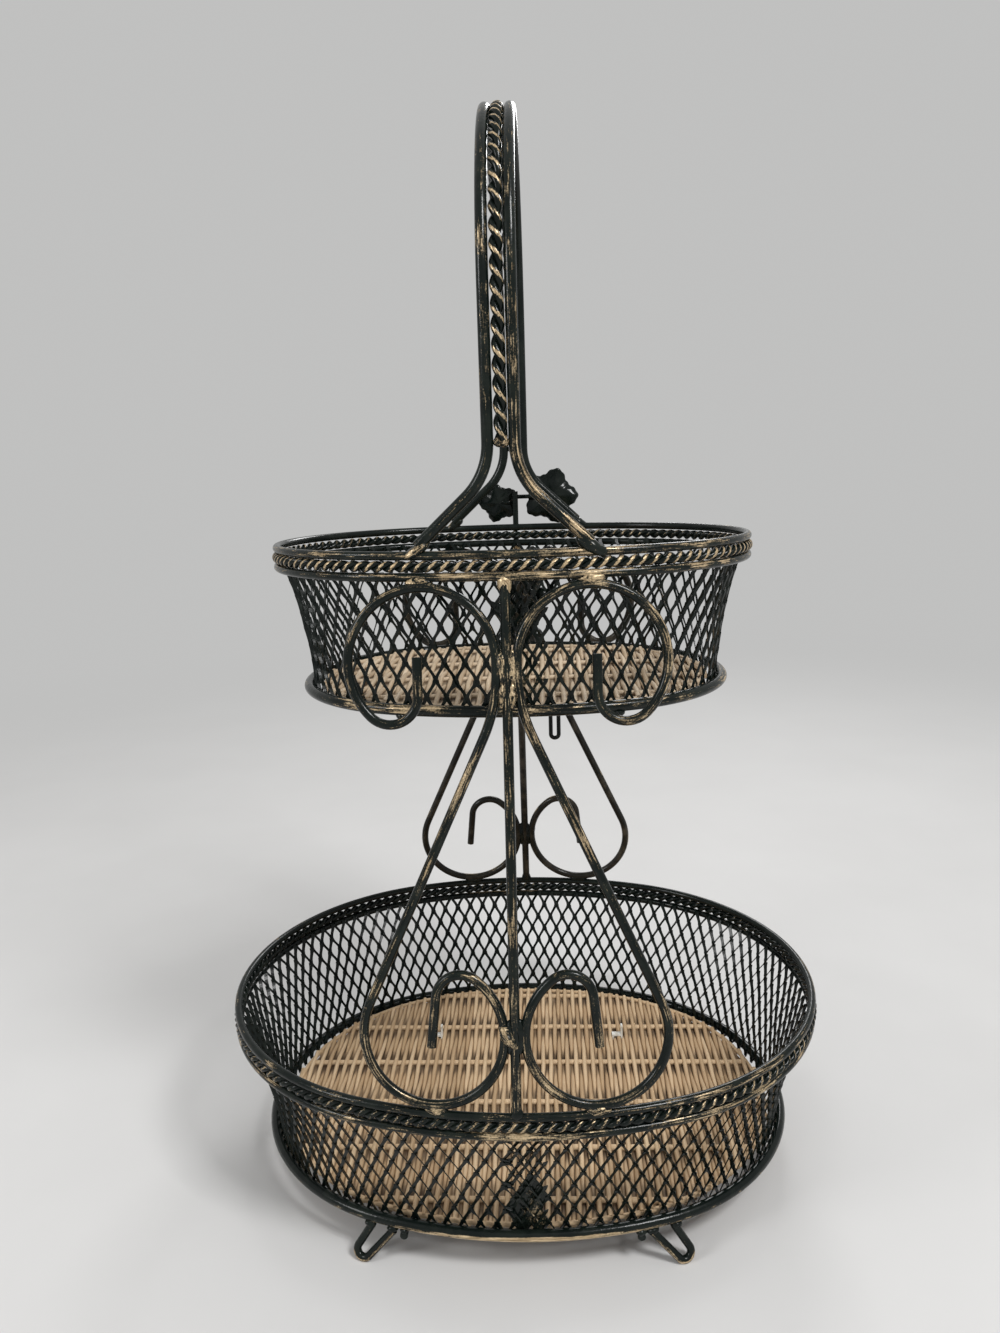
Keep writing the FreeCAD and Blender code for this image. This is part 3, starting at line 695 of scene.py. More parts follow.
class Trees:
    """Geometry Nodes trees, each built once."""

    @staticmethod
    @cache
    def expanded_metal() -> bpy.types.NodeTree:
        """Expanded metal round an oval wall."""
        return ExpandedMetal().tree()

    @staticmethod
    @cache
    def twisted_wire() -> bpy.types.NodeTree:
        """Two strands laid round each other along a path, with each point's crest.

        Returns:
            The tree.
        """
        graph = Graph.grower("twisted_wire", [
            ("Turns", INT, 60), ("Points", INT, 14), ("Lay", FLOAT, 1.0), ("Axis", VECTOR, None),
            ("Core", FLOAT, 0.001), ("Strand", FLOAT, 0.001), ("Sides", INT, 7)])
        src = graph.source
        count = graph.times(src["Turns"], src["Points"])
        fine = graph.first("GeometryNodeResampleCurve", {"Curve": graph.path(), "Count": count}, mode="COUNT")
        kept = graph.add("GeometryNodeCaptureAttribute", {"Geometry": fine})
        kept.capture_items.new("VECTOR", "Middle")
        graph.feed(kept.inputs[1], graph.position())
        pair = graph.add("GeometryNodeDuplicateElements", {"Geometry": kept.outputs[0], "Amount": 2},
                         domain="SPLINE")
        share = graph.add("GeometryNodeSplineParameter").outputs["Factor"]
        laid = graph.times(share, src["Turns"], src["Lay"], math.tau)
        angle = graph.times_plus(pair.outputs["Duplicate Index"], math.pi, laid)
        across = graph.vector("CROSS_PRODUCT", graph.first("GeometryNodeInputTangent"), src["Axis"])
        offset = graph.vector("ADD", graph.scaled(src["Axis"], graph.math("COSINE", angle)),
                              graph.scaled(across, graph.math("SINE", angle)))
        strands = graph.move(pair.outputs[0], Offset=graph.scaled(offset, src["Core"]))
        wire = graph.tube(strands, src["Sides"], src["Strand"])
        lift = graph.vector("DISTANCE", graph.position(), kept.outputs[1])
        crest = graph.over(lift, graph.plus(src["Core"], src["Strand"]))
        return graph.close(graph.store(wire, "crest", crest), smooth=True)

    @staticmethod
    @cache
    def woven_cane() -> bpy.types.NodeTree:
        """Reeds that ride over and under the stakes below them, with each point's rise.

        Returns:
            The tree.
        """
        graph = Graph.grower("woven_cane", [
            ("Step", FLOAT, 0.002), ("Stake Pitch", FLOAT, 0.014), ("Shift", FLOAT, 0.0),
            ("Lift", FLOAT, 0.001), ("Reed", FLOAT, 0.0013), ("Sides", INT, 6), ("Stray", FLOAT, 0.0004)])
        src = graph.source
        fine = graph.first("GeometryNodeResampleCurve", {"Curve": graph.path(), "Length": src["Step"]},
                           mode="LENGTH")
        here = graph.position()
        weave = graph.named("weave")
        along = graph.minus(graph.split(here)[1], src["Shift"])
        angle = graph.over(graph.times(along, math.pi), src["Stake Pitch"])
        wave = graph.math("SINE", graph.times_plus(graph.named("swing"), math.pi, angle))
        rise = graph.times(wave, src["Lift"], weave)
        offset = graph.vector("ADD", graph.stray(here, 70.0, src["Stray"]), graph.combine(0.0, 0.0, rise))
        reeds = graph.store(graph.move(fine, Offset=offset), "rise",
                            graph.times_plus(graph.times(wave, weave), 0.5, 0.5))
        return graph.close(graph.tube(reeds, src["Sides"], src["Reed"]), smooth=True)

    @staticmethod
    @cache
    def weld_bead() -> bpy.types.NodeTree:
        """Lumpy beads of weld metal at marked points, tapered towards their start.

        Returns:
            The tree.
        """
        graph = Graph.grower("weld_bead", [("Lumps", FLOAT, 0.001), ("Taper", FLOAT, 0.0)])
        src = graph.source
        ball = graph.first("GeometryNodeMeshIcoSphere", {"Radius": 1.0, "Subdivisions": 3})
        x, y, z = graph.split(graph.position())
        narrow = graph.times_plus(graph.minus(x, 1.0), graph.times(src["Taper"], 0.5), 1.0)
        ball = graph.move(ball, Position=graph.combine(x, graph.times(y, narrow), graph.times(z, narrow)))
        points = graph.first("GeometryNodeMeshToPoints", {"Mesh": src["Geometry"]})
        turn = graph.first("FunctionNodeEulerToRotation", {0: graph.named("turn", "FLOAT_VECTOR")})
        beads = graph.scatter(points, ball, graph.named("size", "FLOAT_VECTOR"), Rotation=turn)
        swell = graph.times(graph.minus(graph.noise(graph.position(), 330.0), 0.45), src["Lumps"])
        lumps = graph.scaled(graph.first("GeometryNodeInputNormal"), swell)
        return graph.close(graph.move(graph.real(beads), Offset=lumps), smooth=True)


def path_mesh(name: str, runs: list[list[Vector]], closed: bool = False,
              marks: dict[str, list[float]] | None = None) -> bpy.types.Mesh:
    """A mesh of edges for a tree to follow.

    Args:
        name: the mesh's name.
        runs: the points of each run.
        closed: whether each run comes back to its start.
        marks: for each attribute, one value for each run.

    Returns:
        The mesh.
    """
    points: list[Vector] = []
    edges: list[tuple[int, int]] = []
    owner: list[int] = []
    for index, run in enumerate(runs):
        start = len(points)
        points.extend(run)
        owner.extend([index] * len(run))
        edges.extend((i, i + 1) for i in range(start, len(points) - 1))
        if closed:
            edges.append((len(points) - 1, start))
    mesh = bpy.data.meshes.new(name)
    mesh.from_pydata(points, edges, [])
    for label, values in (marks or {}).items():
        layer = mesh.attributes.new(label, "FLOAT", "POINT")
        layer.data.foreach_set("value", [values[i] for i in owner])
    return mesh


def grow(name: str, base: bpy.types.Mesh, tree: bpy.types.NodeTree,
         values: dict[str, object]) -> bpy.types.Object:
    """Runs a tree on a base mesh and keeps the result as a plain mesh.

    Args:
        name: the piece's name.
        base: what the tree follows.
        tree: which tree.
        values: the tree's named inputs.

    Returns:
        The finished piece.
    """
    piece = bpy.data.objects.new(name, base)
    modifier = piece.modifiers.new(tree.name, "NODES")
    modifier.node_group = tree
    for item in tree.interface.items_tree:
        if item.in_out == "INPUT" and item.name in values:
            modifier[item.identifier] = values[item.name]
    bpy.context.scene.collection.objects.link(piece)
    view = bpy.context.evaluated_depsgraph_get()
    mesh = bpy.data.meshes.new_from_object(piece.evaluated_get(view))
    piece.modifiers.remove(modifier)
    piece.data = mesh
    mesh.name = name
    bpy.data.meshes.remove(base)
    return piece


def add_piece(name: str, points: list[Vector], faces: list[tuple[int, ...]], finish: bpy.types.Material,
              smooth: bool = False) -> bpy.types.Object:
    """A piece from its points and faces.

    Args:
        name: the piece's name.
        points: its points.
        faces: the numbers of each face's points, anticlockwise from outside.
        finish: its material.
        smooth: whether its faces are shaded smooth.

    Returns:
        The piece.
    """
    mesh = bpy.data.meshes.new(name)
    mesh.from_pydata(points, [], faces)
    if smooth:
        mesh.shade_smooth()
    mesh.materials.append(finish)
    piece = bpy.data.objects.new(name, mesh)
    bpy.context.scene.collection.objects.link(piece)
    return piece


def settle(piece: bpy.types.Object, nodes: tuple[str, ...] = ()) -> None:
    """Makes a piece ride on the basket.

    Args:
        piece: the finished piece.
        nodes: the solids that it stands for.
    """
    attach(piece, ROOT)
    if nodes:
        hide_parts(*nodes)
    log.info("%s: %d faces", piece.name, len(piece.data.polygons))


# The object's own shapes.

@dataclass(frozen=True)
class Oval:
    """Four-arc oval, in metres."""

    half_width: float
    half_depth: float
    side_bow: float

    @property
    def end_r(self) -> float:
        """Radius of the end arcs."""
        return self.half_depth - self.side_bow

    @property
    def end_x(self) -> float:
        """Distance of the end arcs' centres from the middle."""
        return self.half_width - self.end_r

    @property
    def side_r(self) -> float:
        """Radius of the side arcs."""
        return self.end_x ** 2 / (2 * self.side_bow) + (self.half_depth + self.end_r) / 2

    @property
    def side_y(self) -> float:
        """Distance of the side arcs' centres from the middle."""
        return self.side_r - self.half_depth

    @property
    def join(self) -> float:
        """Angle at which the arcs meet."""
        return math.atan2(self.side_y, self.end_x)

    def offset(self, distance: float) -> "Oval":
        """The oval further out, or further in for a negative distance."""
        return Oval(self.half_width + distance, self.half_depth + distance, self.side_bow)

    def outline(self, count: int, height: float = 0.0) -> list[Vector]:
        """Points round the oval from the middle of its -Y side, anticlockwise.

        Args:
            count: points on each of its five runs: half a side, an end, a side, an end, half a side.
            height: their height.

        Returns:
            The points, with the first not repeated.
        """
        end, side = 2 * self.join, math.pi - 2 * self.join
        arcs = [(0.0, self.side_y, self.side_r, -math.pi / 2, side / 2),
                (self.end_x, 0.0, self.end_r, -self.join, end),
                (0.0, -self.side_y, self.side_r, self.join, side),
                (-self.end_x, 0.0, self.end_r, math.pi - self.join, end),
                (0.0, self.side_y, self.side_r, math.pi + self.join, side / 2)]
        points = []
        for cx, cy, radius, start, sweep in arcs:
            for step in range(count):
                angle = start + sweep * step / count
                points.append(Vector((cx + radius * math.cos(angle), cy + radius * math.sin(angle), height)))
        return points

    def girth(self) -> float:
        """Length round the oval."""
        return 4 * self.end_r * self.join + 2 * self.side_r * (math.pi - 2 * self.join)

    def depth_at(self, x: float) -> float:
        """Distance of the outline from the long axis.

        Args:
            x: place along the long axis.

        Returns:
            The distance.
        """
        if abs(x) < self.side_r * math.cos(self.join):
            return math.sqrt(self.side_r ** 2 - x ** 2) - self.side_y
        return math.sqrt(max(self.end_r ** 2 - (abs(x) - self.end_x) ** 2, 0.0))

    def width_at(self, y: float) -> float:
        """Distance of the outline from the short axis.

        Args:
            y: place along the short axis.

        Returns:
            The distance.
        """
        if abs(y) < self.end_r * math.sin(self.join):
            return self.end_x + math.sqrt(self.end_r ** 2 - y ** 2)
        return math.sqrt(max(self.side_r ** 2 - (abs(y) + self.side_y) ** 2, 0.0))

    def normal_at(self, x: float) -> Vector:
        """Direction out of the outline on its -Y side.

        Args:
            x: place along the long axis.

        Returns:
            The direction, one unit long.
        """
        if abs(x) < self.side_r * math.cos(self.join):
            centre = Vector((0.0, self.side_y, 0.0))
        else:
            centre = Vector((math.copysign(self.end_x, x), 0.0, 0.0))
        return (Vector((x, -self.depth_at(x), 0.0)) - centre).normalized()


RIM_WIRE = mm(3.5)
RIM_ROPE = mm(4.6)
BASE_WIRE = mm(4.8)
SCROLL_WIRE = mm(3.8)
POST_WIRE = mm(4.0)
HANDLE_ROPE = mm(5.4)
WELD_GAP = mm(0.1)
ROPE_DROP = (RIM_WIRE + RIM_ROPE) / 2 + WELD_GAP
POST_TO_SCROLL = (POST_WIRE + SCROLL_WIRE) / 2
STRAND_BITE = mm(0.12)
LEFT_LAY = -1.0
RIM_ARC_POINTS = 72
MAT_ARC_POINTS = 24


def lay_rope(name: str, path: bpy.types.Mesh, thickness: float, turns: int, axis: Vector,
             finish: bpy.types.Material, points: int, sides: int) -> bpy.types.Object:
    """Two strands twisted along a path, pressed a little into each other.

    Args:
        name: the piece's name.
        path: the rope's middle line.
        thickness: across both strands.
        turns: how often they go round.
        axis: a direction square to the whole path.
        finish: its material.
        points: points of a strand in one turn.
        sides: points round a strand.

    Returns:
        The rope.
    """
    strand = thickness / 4 + STRAND_BITE
    return grow(name, path, Trees.twisted_wire(), {
        "Turns": turns, "Points": points, "Lay": LEFT_LAY, "Axis": tuple(axis),
        "Core": thickness / 2 - strand, "Strand": strand, "Sides": sides, "Material": finish})


@dataclass
class Weave:
    """Reeds of a mat as runs of points, with the marks that the weave reads."""

    runs: list[list[Vector]] = field(default_factory=list)
    marks: dict[str, list[float]] = field(default_factory=dict)

    def lay(self, run: list[Vector], swing: float, weave: float, tone: float) -> None:
        """Adds one reed.

        Args:
            run: its points.
            swing: 0 or 1, the side of the stakes on which it starts.
            weave: 1 for a reed that weaves, 0 for a straight one.
            tone: how deep its colour is.
        """
        self.runs.append(run)
        for label, value in (("swing", swing), ("weave", weave), ("tone", tone)):
            self.marks.setdefault(label, []).append(value)


@dataclass
class Tier:
    """One basket: rim rope, expanded wall and wicker mat."""

    name: str
    rim: Oval
    base_inset: float
    top_z: float
    base_z: float
    cross_x: float
    seed: int
    clog: tuple[float, float, float]
    clog_size: float
    columns_pitch: float
    rows: int
    strand: float
    right_tilt: float
    left_tilt: float
    seam: float
    film: float = mm(2.9)
    lap: int = 2
    strand_depth: float = mm(0.5)
    half_sheet: float = mm(0.6)
    wall_gap: float = mm(0.3)
    wall_sag: float = mm(2.2)
    wobble: float = mm(1.6)
    knuckle_swell: float = 0.3
    rope_pitch: float = mm(10.2)
    reed: float = mm(1.12)
    reed_pitch: float = mm(2.2)
    reed_lift: float = mm(1.3)
    reed_stray: float = mm(0.9)
    stake_pitch: float = mm(34)
    stake_shift: float = mm(4)
    stake_lift: float = mm(0.3)
    mat_gap: float = mm(1.5)
    mat_end_trim: float = mm(2.5)
    mat_side_trim: float = mm(0.3)
    mat_rise: float = mm(2.7)
    # Place and size of a thin plate of painted shade under the reeds, seen through the gaps between them.
    shade_plate_inset: float = mm(2.5)
    shade_plate_drop: float = mm(0.7)
    shade_plate_thickness: float = mm(0.5)

    @property
    def base(self) -> Oval:
        """Middle line of the base ring."""
        return self.rim.offset(-self.base_inset)

    @property
    def mat_outline(self) -> Oval:
        """Outline of the mat inside the base ring."""
        inner = self.rim.offset(-(self.base_inset + BASE_WIRE / 2 + self.mat_gap))
        return Oval(inner.half_width - self.mat_end_trim, inner.half_depth - self.mat_side_trim,
                    inner.side_bow)

    @property
    def mat_z(self) -> float:
        """Height of the mat's middle."""
        return self.base_z - BASE_WIRE / 2 + self.mat_rise

    def build_rope(self, finish: bpy.types.Material) -> None:
        """Twisted wire between the two rim rings.

        Args:
            finish: its material.
        """
        middle = self.rim.outline(RIM_ARC_POINTS, self.top_z - ROPE_DROP)
        path = path_mesh(self.name + "_rope", [middle], closed=True)
        turns = round(self.rim.girth() / self.rope_pitch)
        rope = lay_rope(self.name + "_twisted_rim", path, RIM_ROPE, turns, UP, finish, points=14, sides=10)
        settle(rope, (self.name + "_rim_rope",))

    def build_wall(self, finish: bpy.types.Material) -> None:
        """Expanded metal between the under ring and the base ring.

        Args:
            finish: its material.
        """
        low = self.base_z - BASE_WIRE / 2
        high = self.top_z - 2 * ROPE_DROP + RIM_WIRE / 2
        top_inset = RIM_WIRE / 2 + self.wall_gap + self.half_sheet
        foot_inset = self.base_inset + BASE_WIRE / 2 + self.wall_gap + self.half_sheet
        outline = self.rim.outline(RIM_ARC_POINTS)
        path = path_mesh(self.name + "_wall", [outline + outline[:1]])
        columns = round(self.rim.offset(-(top_inset + foot_inset) / 2).girth() / self.columns_pitch)
        wall = grow(self.name + "_expanded_wall", path, Trees.expanded_metal(), {
            "Columns": columns, "Lap": self.lap, "Rows": self.rows, "Foot Z": low, "Height": high - low,
            "Top Inset": top_inset, "Foot Inset": foot_inset, "Sag": self.wall_sag,
            "Strand Width": self.strand, "Strand Depth": self.strand_depth, "Swell": self.knuckle_swell,
            "Right Tilt": math.radians(self.right_tilt), "Left Tilt": math.radians(self.left_tilt),
            "Wobble": self.wobble, "Film": self.film, "Seam": self.seam, "Clog": self.clog,
            "Clog Size": self.clog_size, "Seed": self.seed, "Material": finish})
        settle(wall, (self.name + "_mesh_wall",))

    def build_mat(self, finish: bpy.types.Material) -> None:
        """Reeds woven over pairs of stakes, an edge reed round them and a thin plate of painted shade inside.

        Args:
            finish: its material.
        """
        outline, middle = self.mat_outline, self.mat_z
        laid = middle + self.stake_lift
        pick = random.Random(self.seed)
        reeds = Weave()
        count = int((outline.half_width - self.reed) / self.reed_pitch)
        for index in range(-count, count + 1):
            x = index * self.reed_pitch + pick.uniform(-0.15, 0.15) * self.reed
            reach = outline.depth_at(x) - pick.uniform(0.6, 1.2) * self.reed
            if reach > 4 * self.reed:
                run = [Vector((x, -reach, middle)), Vector((x, reach, middle))]
                reeds.lay(run, float(index % 2), 1.0, 0.25 * (index % 2) + 0.75 * pick.random())
        rows = int((outline.half_depth - self.reed) / self.stake_pitch) + 1
        for row in range(-rows, rows + 1):
            y = (row + 0.5) * self.stake_pitch + self.stake_shift
            if abs(y) < outline.half_depth - self.reed:
                reach = outline.width_at(y) - self.reed
                for side in (-0.45, 0.45):
                    place = y + side * self.reed
                    run = [Vector((-reach, place, laid)), Vector((reach, place, laid))]
                    reeds.lay(run, 0.0, 0.0, 0.3 * pick.random())
        edge = outline.offset(-self.reed).outline(MAT_ARC_POINTS, laid)
        reeds.lay(edge + edge[:2], 0.0, 0.0, 0.35)
        lines = path_mesh(self.name + "_reeds", reeds.runs, marks=reeds.marks)
        mat = grow(self.name + "_woven_mat", lines, Trees.woven_cane(), {
            "Step": self.stake_pitch / 12, "Stake Pitch": self.stake_pitch, "Shift": self.stake_shift,
            "Lift": self.reed_lift, "Reed": self.reed, "Sides": 6, "Stray": self.reed_stray,
            "Material": finish})
        settle(mat, (self.name + "_wicker_mat",))
        settle(self.shade_plate(finish))

    def shade_plate(self, finish: bpy.types.Material) -> bpy.types.Object:
        """Thin plate inside the weave, painted shade that shows dark through the gaps between reeds.

        Args:
            finish: its material.

        Returns:
            The plate.
        """
        # Painted shade: the plate carries no rise or tone, so the cane finish gives it the dark colour of the
        # weave's lowest places.
        outline = self.mat_outline.offset(-self.shade_plate_inset).outline(MAT_ARC_POINTS)
        middle = self.mat_z - self.shade_plate_drop
        count = len(outline)
        points = [Vector((p.x, p.y, middle + half * self.shade_plate_thickness / 2))
                  for half in (-1, 1) for p in outline]
        faces = [tuple(range(count - 1, -1, -1)), tuple(range(count, 2 * count))]
        faces += [(i, (i + 1) % count, count + (i + 1) % count, count + i) for i in range(count)]
        return add_piece(self.name + "_mat_shade_plate", points, faces, finish)


@dataclass
class Handle:
    """Twisted wire between the two wires of the carrying handle."""

    half_span: float
    crown_z: float
    foot_z: float
    lay_length: float = mm(13.8)
    arch_steps: int = 96

    def build_rope(self, finish: bpy.types.Material) -> None:
        """Rope up one leg, over the arch and down the other.

        Args:
            finish: its material.
        """
        radius = self.half_span
        spring = self.crown_z - radius
        points = [Vector((0.0, -radius, self.foot_z))]
        for step in range(self.arch_steps + 1):
            angle = math.pi - math.pi * step / self.arch_steps
            points.append(Vector((0.0, radius * math.cos(angle), spring + radius * math.sin(angle))))
        points.append(Vector((0.0, radius, self.foot_z)))
        length = sum((b - a).length for a, b in zip(points, points[1:]))
        path = path_mesh("handle_path", [points])
        turns = round(length / self.lay_length)
        rope = lay_rope("handle_twist", path, HANDLE_ROPE, turns, RIGHT, finish, points=16, sides=8)
        settle(rope, ("handle_rope",))


class Bead(Enum):
    """Kinds of weld, each with its piece's name, its taper and its paint."""

    ROUND = ("weld_beads", 0.0, "weld_paint")
    CONE = ("weld_cones", 0.75, "post_head_paint")
    DARK = ("dark_beads", 0.0, "mesh_paint")
    FILLET = ("dark_fillets", 0.75, "mesh_paint")


@dataclass
class Welds:
    """Beads of weld metal where the wires meet.

    A side is -1 for the basket's back and 1 for its front, a hand -1 for the left and 1 for the right.
    """

    lower: Tier
    upper: Tier
    handle: Handle
    handle_foot_x: float = mm(33)
    foot_x: float = mm(58.5)
    foot_half_gap: float = mm(5.3)
    lower_curl: float = mm(28)
    upper_curl: float = mm(29)
    web_foot: float = mm(28)
    web_middle: float = mm(30)
    web_top: float = mm(33)
    lumps: float = mm(2.6)
    spots: dict[Bead, list[tuple[Vector, Vector, tuple[float, float, float]]]] = field(default_factory=dict)

    @property
    def head_z(self) -> float:
        """Height of the posts' heads, under the upper rim."""
        return self.upper.top_z - 2 * ROPE_DROP - RIM_WIRE / 2

    def mark(self, place: Vector, along: Vector, size: tuple[float, float, float],
             kind: Bead = Bead.ROUND) -> None:
        """Notes one bead.

        Args:
            place: its middle.
            along: the way that its long axis runs.
            size: its half lengths along, across and through, in millimetres.
            kind: which kind of weld.
        """
        self.spots.setdefault(kind, []).append((place, along, size))

    def post(self, side: int) -> tuple[Vector, Vector]:
        """Foot of a post and the way that it leans.

        Args:
            side: the post's side.

        Returns:
            The foot, and a direction one unit long.
        """
        foot = Vector((0.0, side * self.lower.rim.half_depth, self.lower.top_z + RIM_WIRE / 2))
        head = Vector((0.0, side * self.upper.rim.half_depth, self.head_z))
        return foot, (head - foot).normalized()

    def post_length(self, side: int) -> float:
        """Length of a post between the rims."""
        foot, along = self.post(side)
        return (self.head_z - foot.z) / along.z

    def scroll_place(self, side: int, hand: int, u: float, v: float) -> Vector:
        """Point of a scroll's plane.

        Args:
            side: the scroll's side.
            hand: the scroll's hand.
            u: distance sideways from the post.
            v: distance up along the post.

        Returns:
            The point.
        """
        foot, along = self.post(side)
        reach = POST_TO_SCROLL + WELD_GAP + self.lower_curl
        rim = self.lower.rim
        turn = math.atan2(rim.half_depth - rim.depth_at(reach), reach)
        sideways = Vector((hand * math.cos(turn), -side * math.sin(turn), 0.0))
        square = (sideways - along * sideways.dot(along)).normalized()
        lift = -square.z * reach / along.z
        return foot + square * u + along * (v + lift)

    def mark_post(self, side: int) -> None:
        """Notes the beads at a post's ends and at an end of the handle's rope.

        Args:
            side: the post's side.
        """
        foot, along = self.post(side)
        self.mark(foot + along * mm(1.6), -along, (4.2, 3.4, 3.0), Bead.FILLET)
        self.mark(foot + along * (self.post_length(side) - mm(2.2)), along, (5.2, 3.6, 3.1), Bead.CONE)
        rope_end = Vector((0.0, side * self.handle.half_span, self.handle.foot_z))
        for hand in LEFT_AND_RIGHT:
            self.mark(rope_end + Vector((hand * mm(1.25), 0, mm(0.2))), UP, (1.7, 1.55, 1.55))

    def mark_scroll(self, side: int, hand: int) -> None:
        """Notes the beads that hold a scroll to its post and to both rims.

        Args:
            side: the scroll's side.
            hand: the scroll's hand.
        """
        along, length = self.post(side)[1], self.post_length(side)
        seam = POST_TO_SCROLL / 2
        for drop, size in ((mm(33), (6.5, 2.0, 2.2)), (mm(44), (5.0, 1.8, 2.0))):
            self.mark(self.scroll_place(side, hand, seam, length - drop), along, size)
        self.mark(self.scroll_place(side, hand, seam, self.web_middle), along, (7.0, 1.9, 1.9), Bead.DARK)
        if side == hand:
            start = self.scroll_place(side, hand, POST_TO_SCROLL + mm(0.4), self.web_top)
            end = self.scroll_place(side, hand, mm(0.6), self.web_foot)
            out = Vector((0.0, side * mm(0.7), 0.0))
            self.mark((start + end) / 2 + out, (end - start).normalized(), (5.6, 2.7, 2.3))
        on_lower_rim = self.scroll_place(side, hand, POST_TO_SCROLL + self.lower_curl, mm(0.3))
        under_upper_rim = self.scroll_place(side, hand, POST_TO_SCROLL + self.upper_curl, length - mm(0.2))
        self.mark(on_lower_rim, RIGHT, (4.8, 2.2, 2.0))
        self.mark(under_upper_rim, RIGHT, (5.2, 2.3, 2.0))

    def mark_handle_foot(self, side: int, hand: int) -> None:
        """Notes the bead under the splayed foot of a handle wire, larger and dark on the right.

        Args:
            side: the foot's side.
            hand: the foot's hand.
        """
        place = Vector((hand * self.handle_foot_x, side * self.upper.rim.depth_at(self.handle_foot_x),
                        self.upper.top_z + RIM_WIRE / 2 + mm(0.4)))
        size, kind = ((6.6, 3.3, 2.7), Bead.DARK) if hand > 0 else ((5.6, 2.6, 2.0), Bead.ROUND)
        self.mark(place, Vector((hand, 0, -0.6)), size, kind)

    def mark_cross_wires(self, tier: Tier) -> None:
        """Notes the beads between a tier's cross wires and its base ring.

        Args:
            tier: the tier.
        """
        for x in (-tier.cross_x, tier.cross_x):
            for side in BACK_AND_FRONT:
                place = Vector((x, side * tier.base.depth_at(x), tier.base_z - BASE_WIRE / 2))
                self.mark(place, Vector((0, 1, 0)), (2.8, 2.2, 1.4), Bead.DARK)

    def mark_feet(self) -> None:
        """Notes the beads between the legs of the feet and the lower base ring."""
        base = self.lower.base
        for x in (-self.foot_x, self.foot_x):
            out = base.normal_at(x)
            across = UP.cross(out)
            on_ring = Vector((x, -base.depth_at(x), self.lower.base_z))
            for side in BACK_AND_FRONT:
                for leg in LEFT_AND_RIGHT:
                    place = on_ring + across * (leg * self.foot_half_gap)
                    place += across * math.copysign(mm(1.2), x) + out * mm(0.8)
                    place -= UP * (BASE_WIRE / 2 + mm(0.4))
                    place.y *= -side
                    self.mark(place, across, (2.6, 1.8, 1.5), Bead.DARK)

    def build(self, materials: dict[str, bpy.types.Material]) -> None:
        """Makes the beads, in one piece for each kind.

        Args:
            materials: the finishes by name.
        """
        for side in BACK_AND_FRONT:
            self.mark_post(side)
            for hand in LEFT_AND_RIGHT:
                self.mark_scroll(side, hand)
                self.mark_handle_foot(side, hand)
        for tier in (self.lower, self.upper):
            self.mark_cross_wires(tier)
        self.mark_feet()
        for kind, spots in self.spots.items():
            name, taper, paint = kind.value
            mesh = path_mesh(name, [[place] for place, along, size in spots])
            turns = [angle for place, along, size in spots
                     for angle in along.to_track_quat("X", "Z").to_euler()]
            sizes = [mm(value) for place, along, size in spots for value in size]
            for label, values in (("turn", turns), ("size", sizes)):
                mesh.attributes.new(label, "FLOAT_VECTOR", "POINT").data.foreach_set("vector", values)
            beads = grow(name, mesh, Trees.weld_bead(), {"Lumps": self.lumps, "Taper": taper,
                                                         "Material": materials[paint]})
            settle(beads)


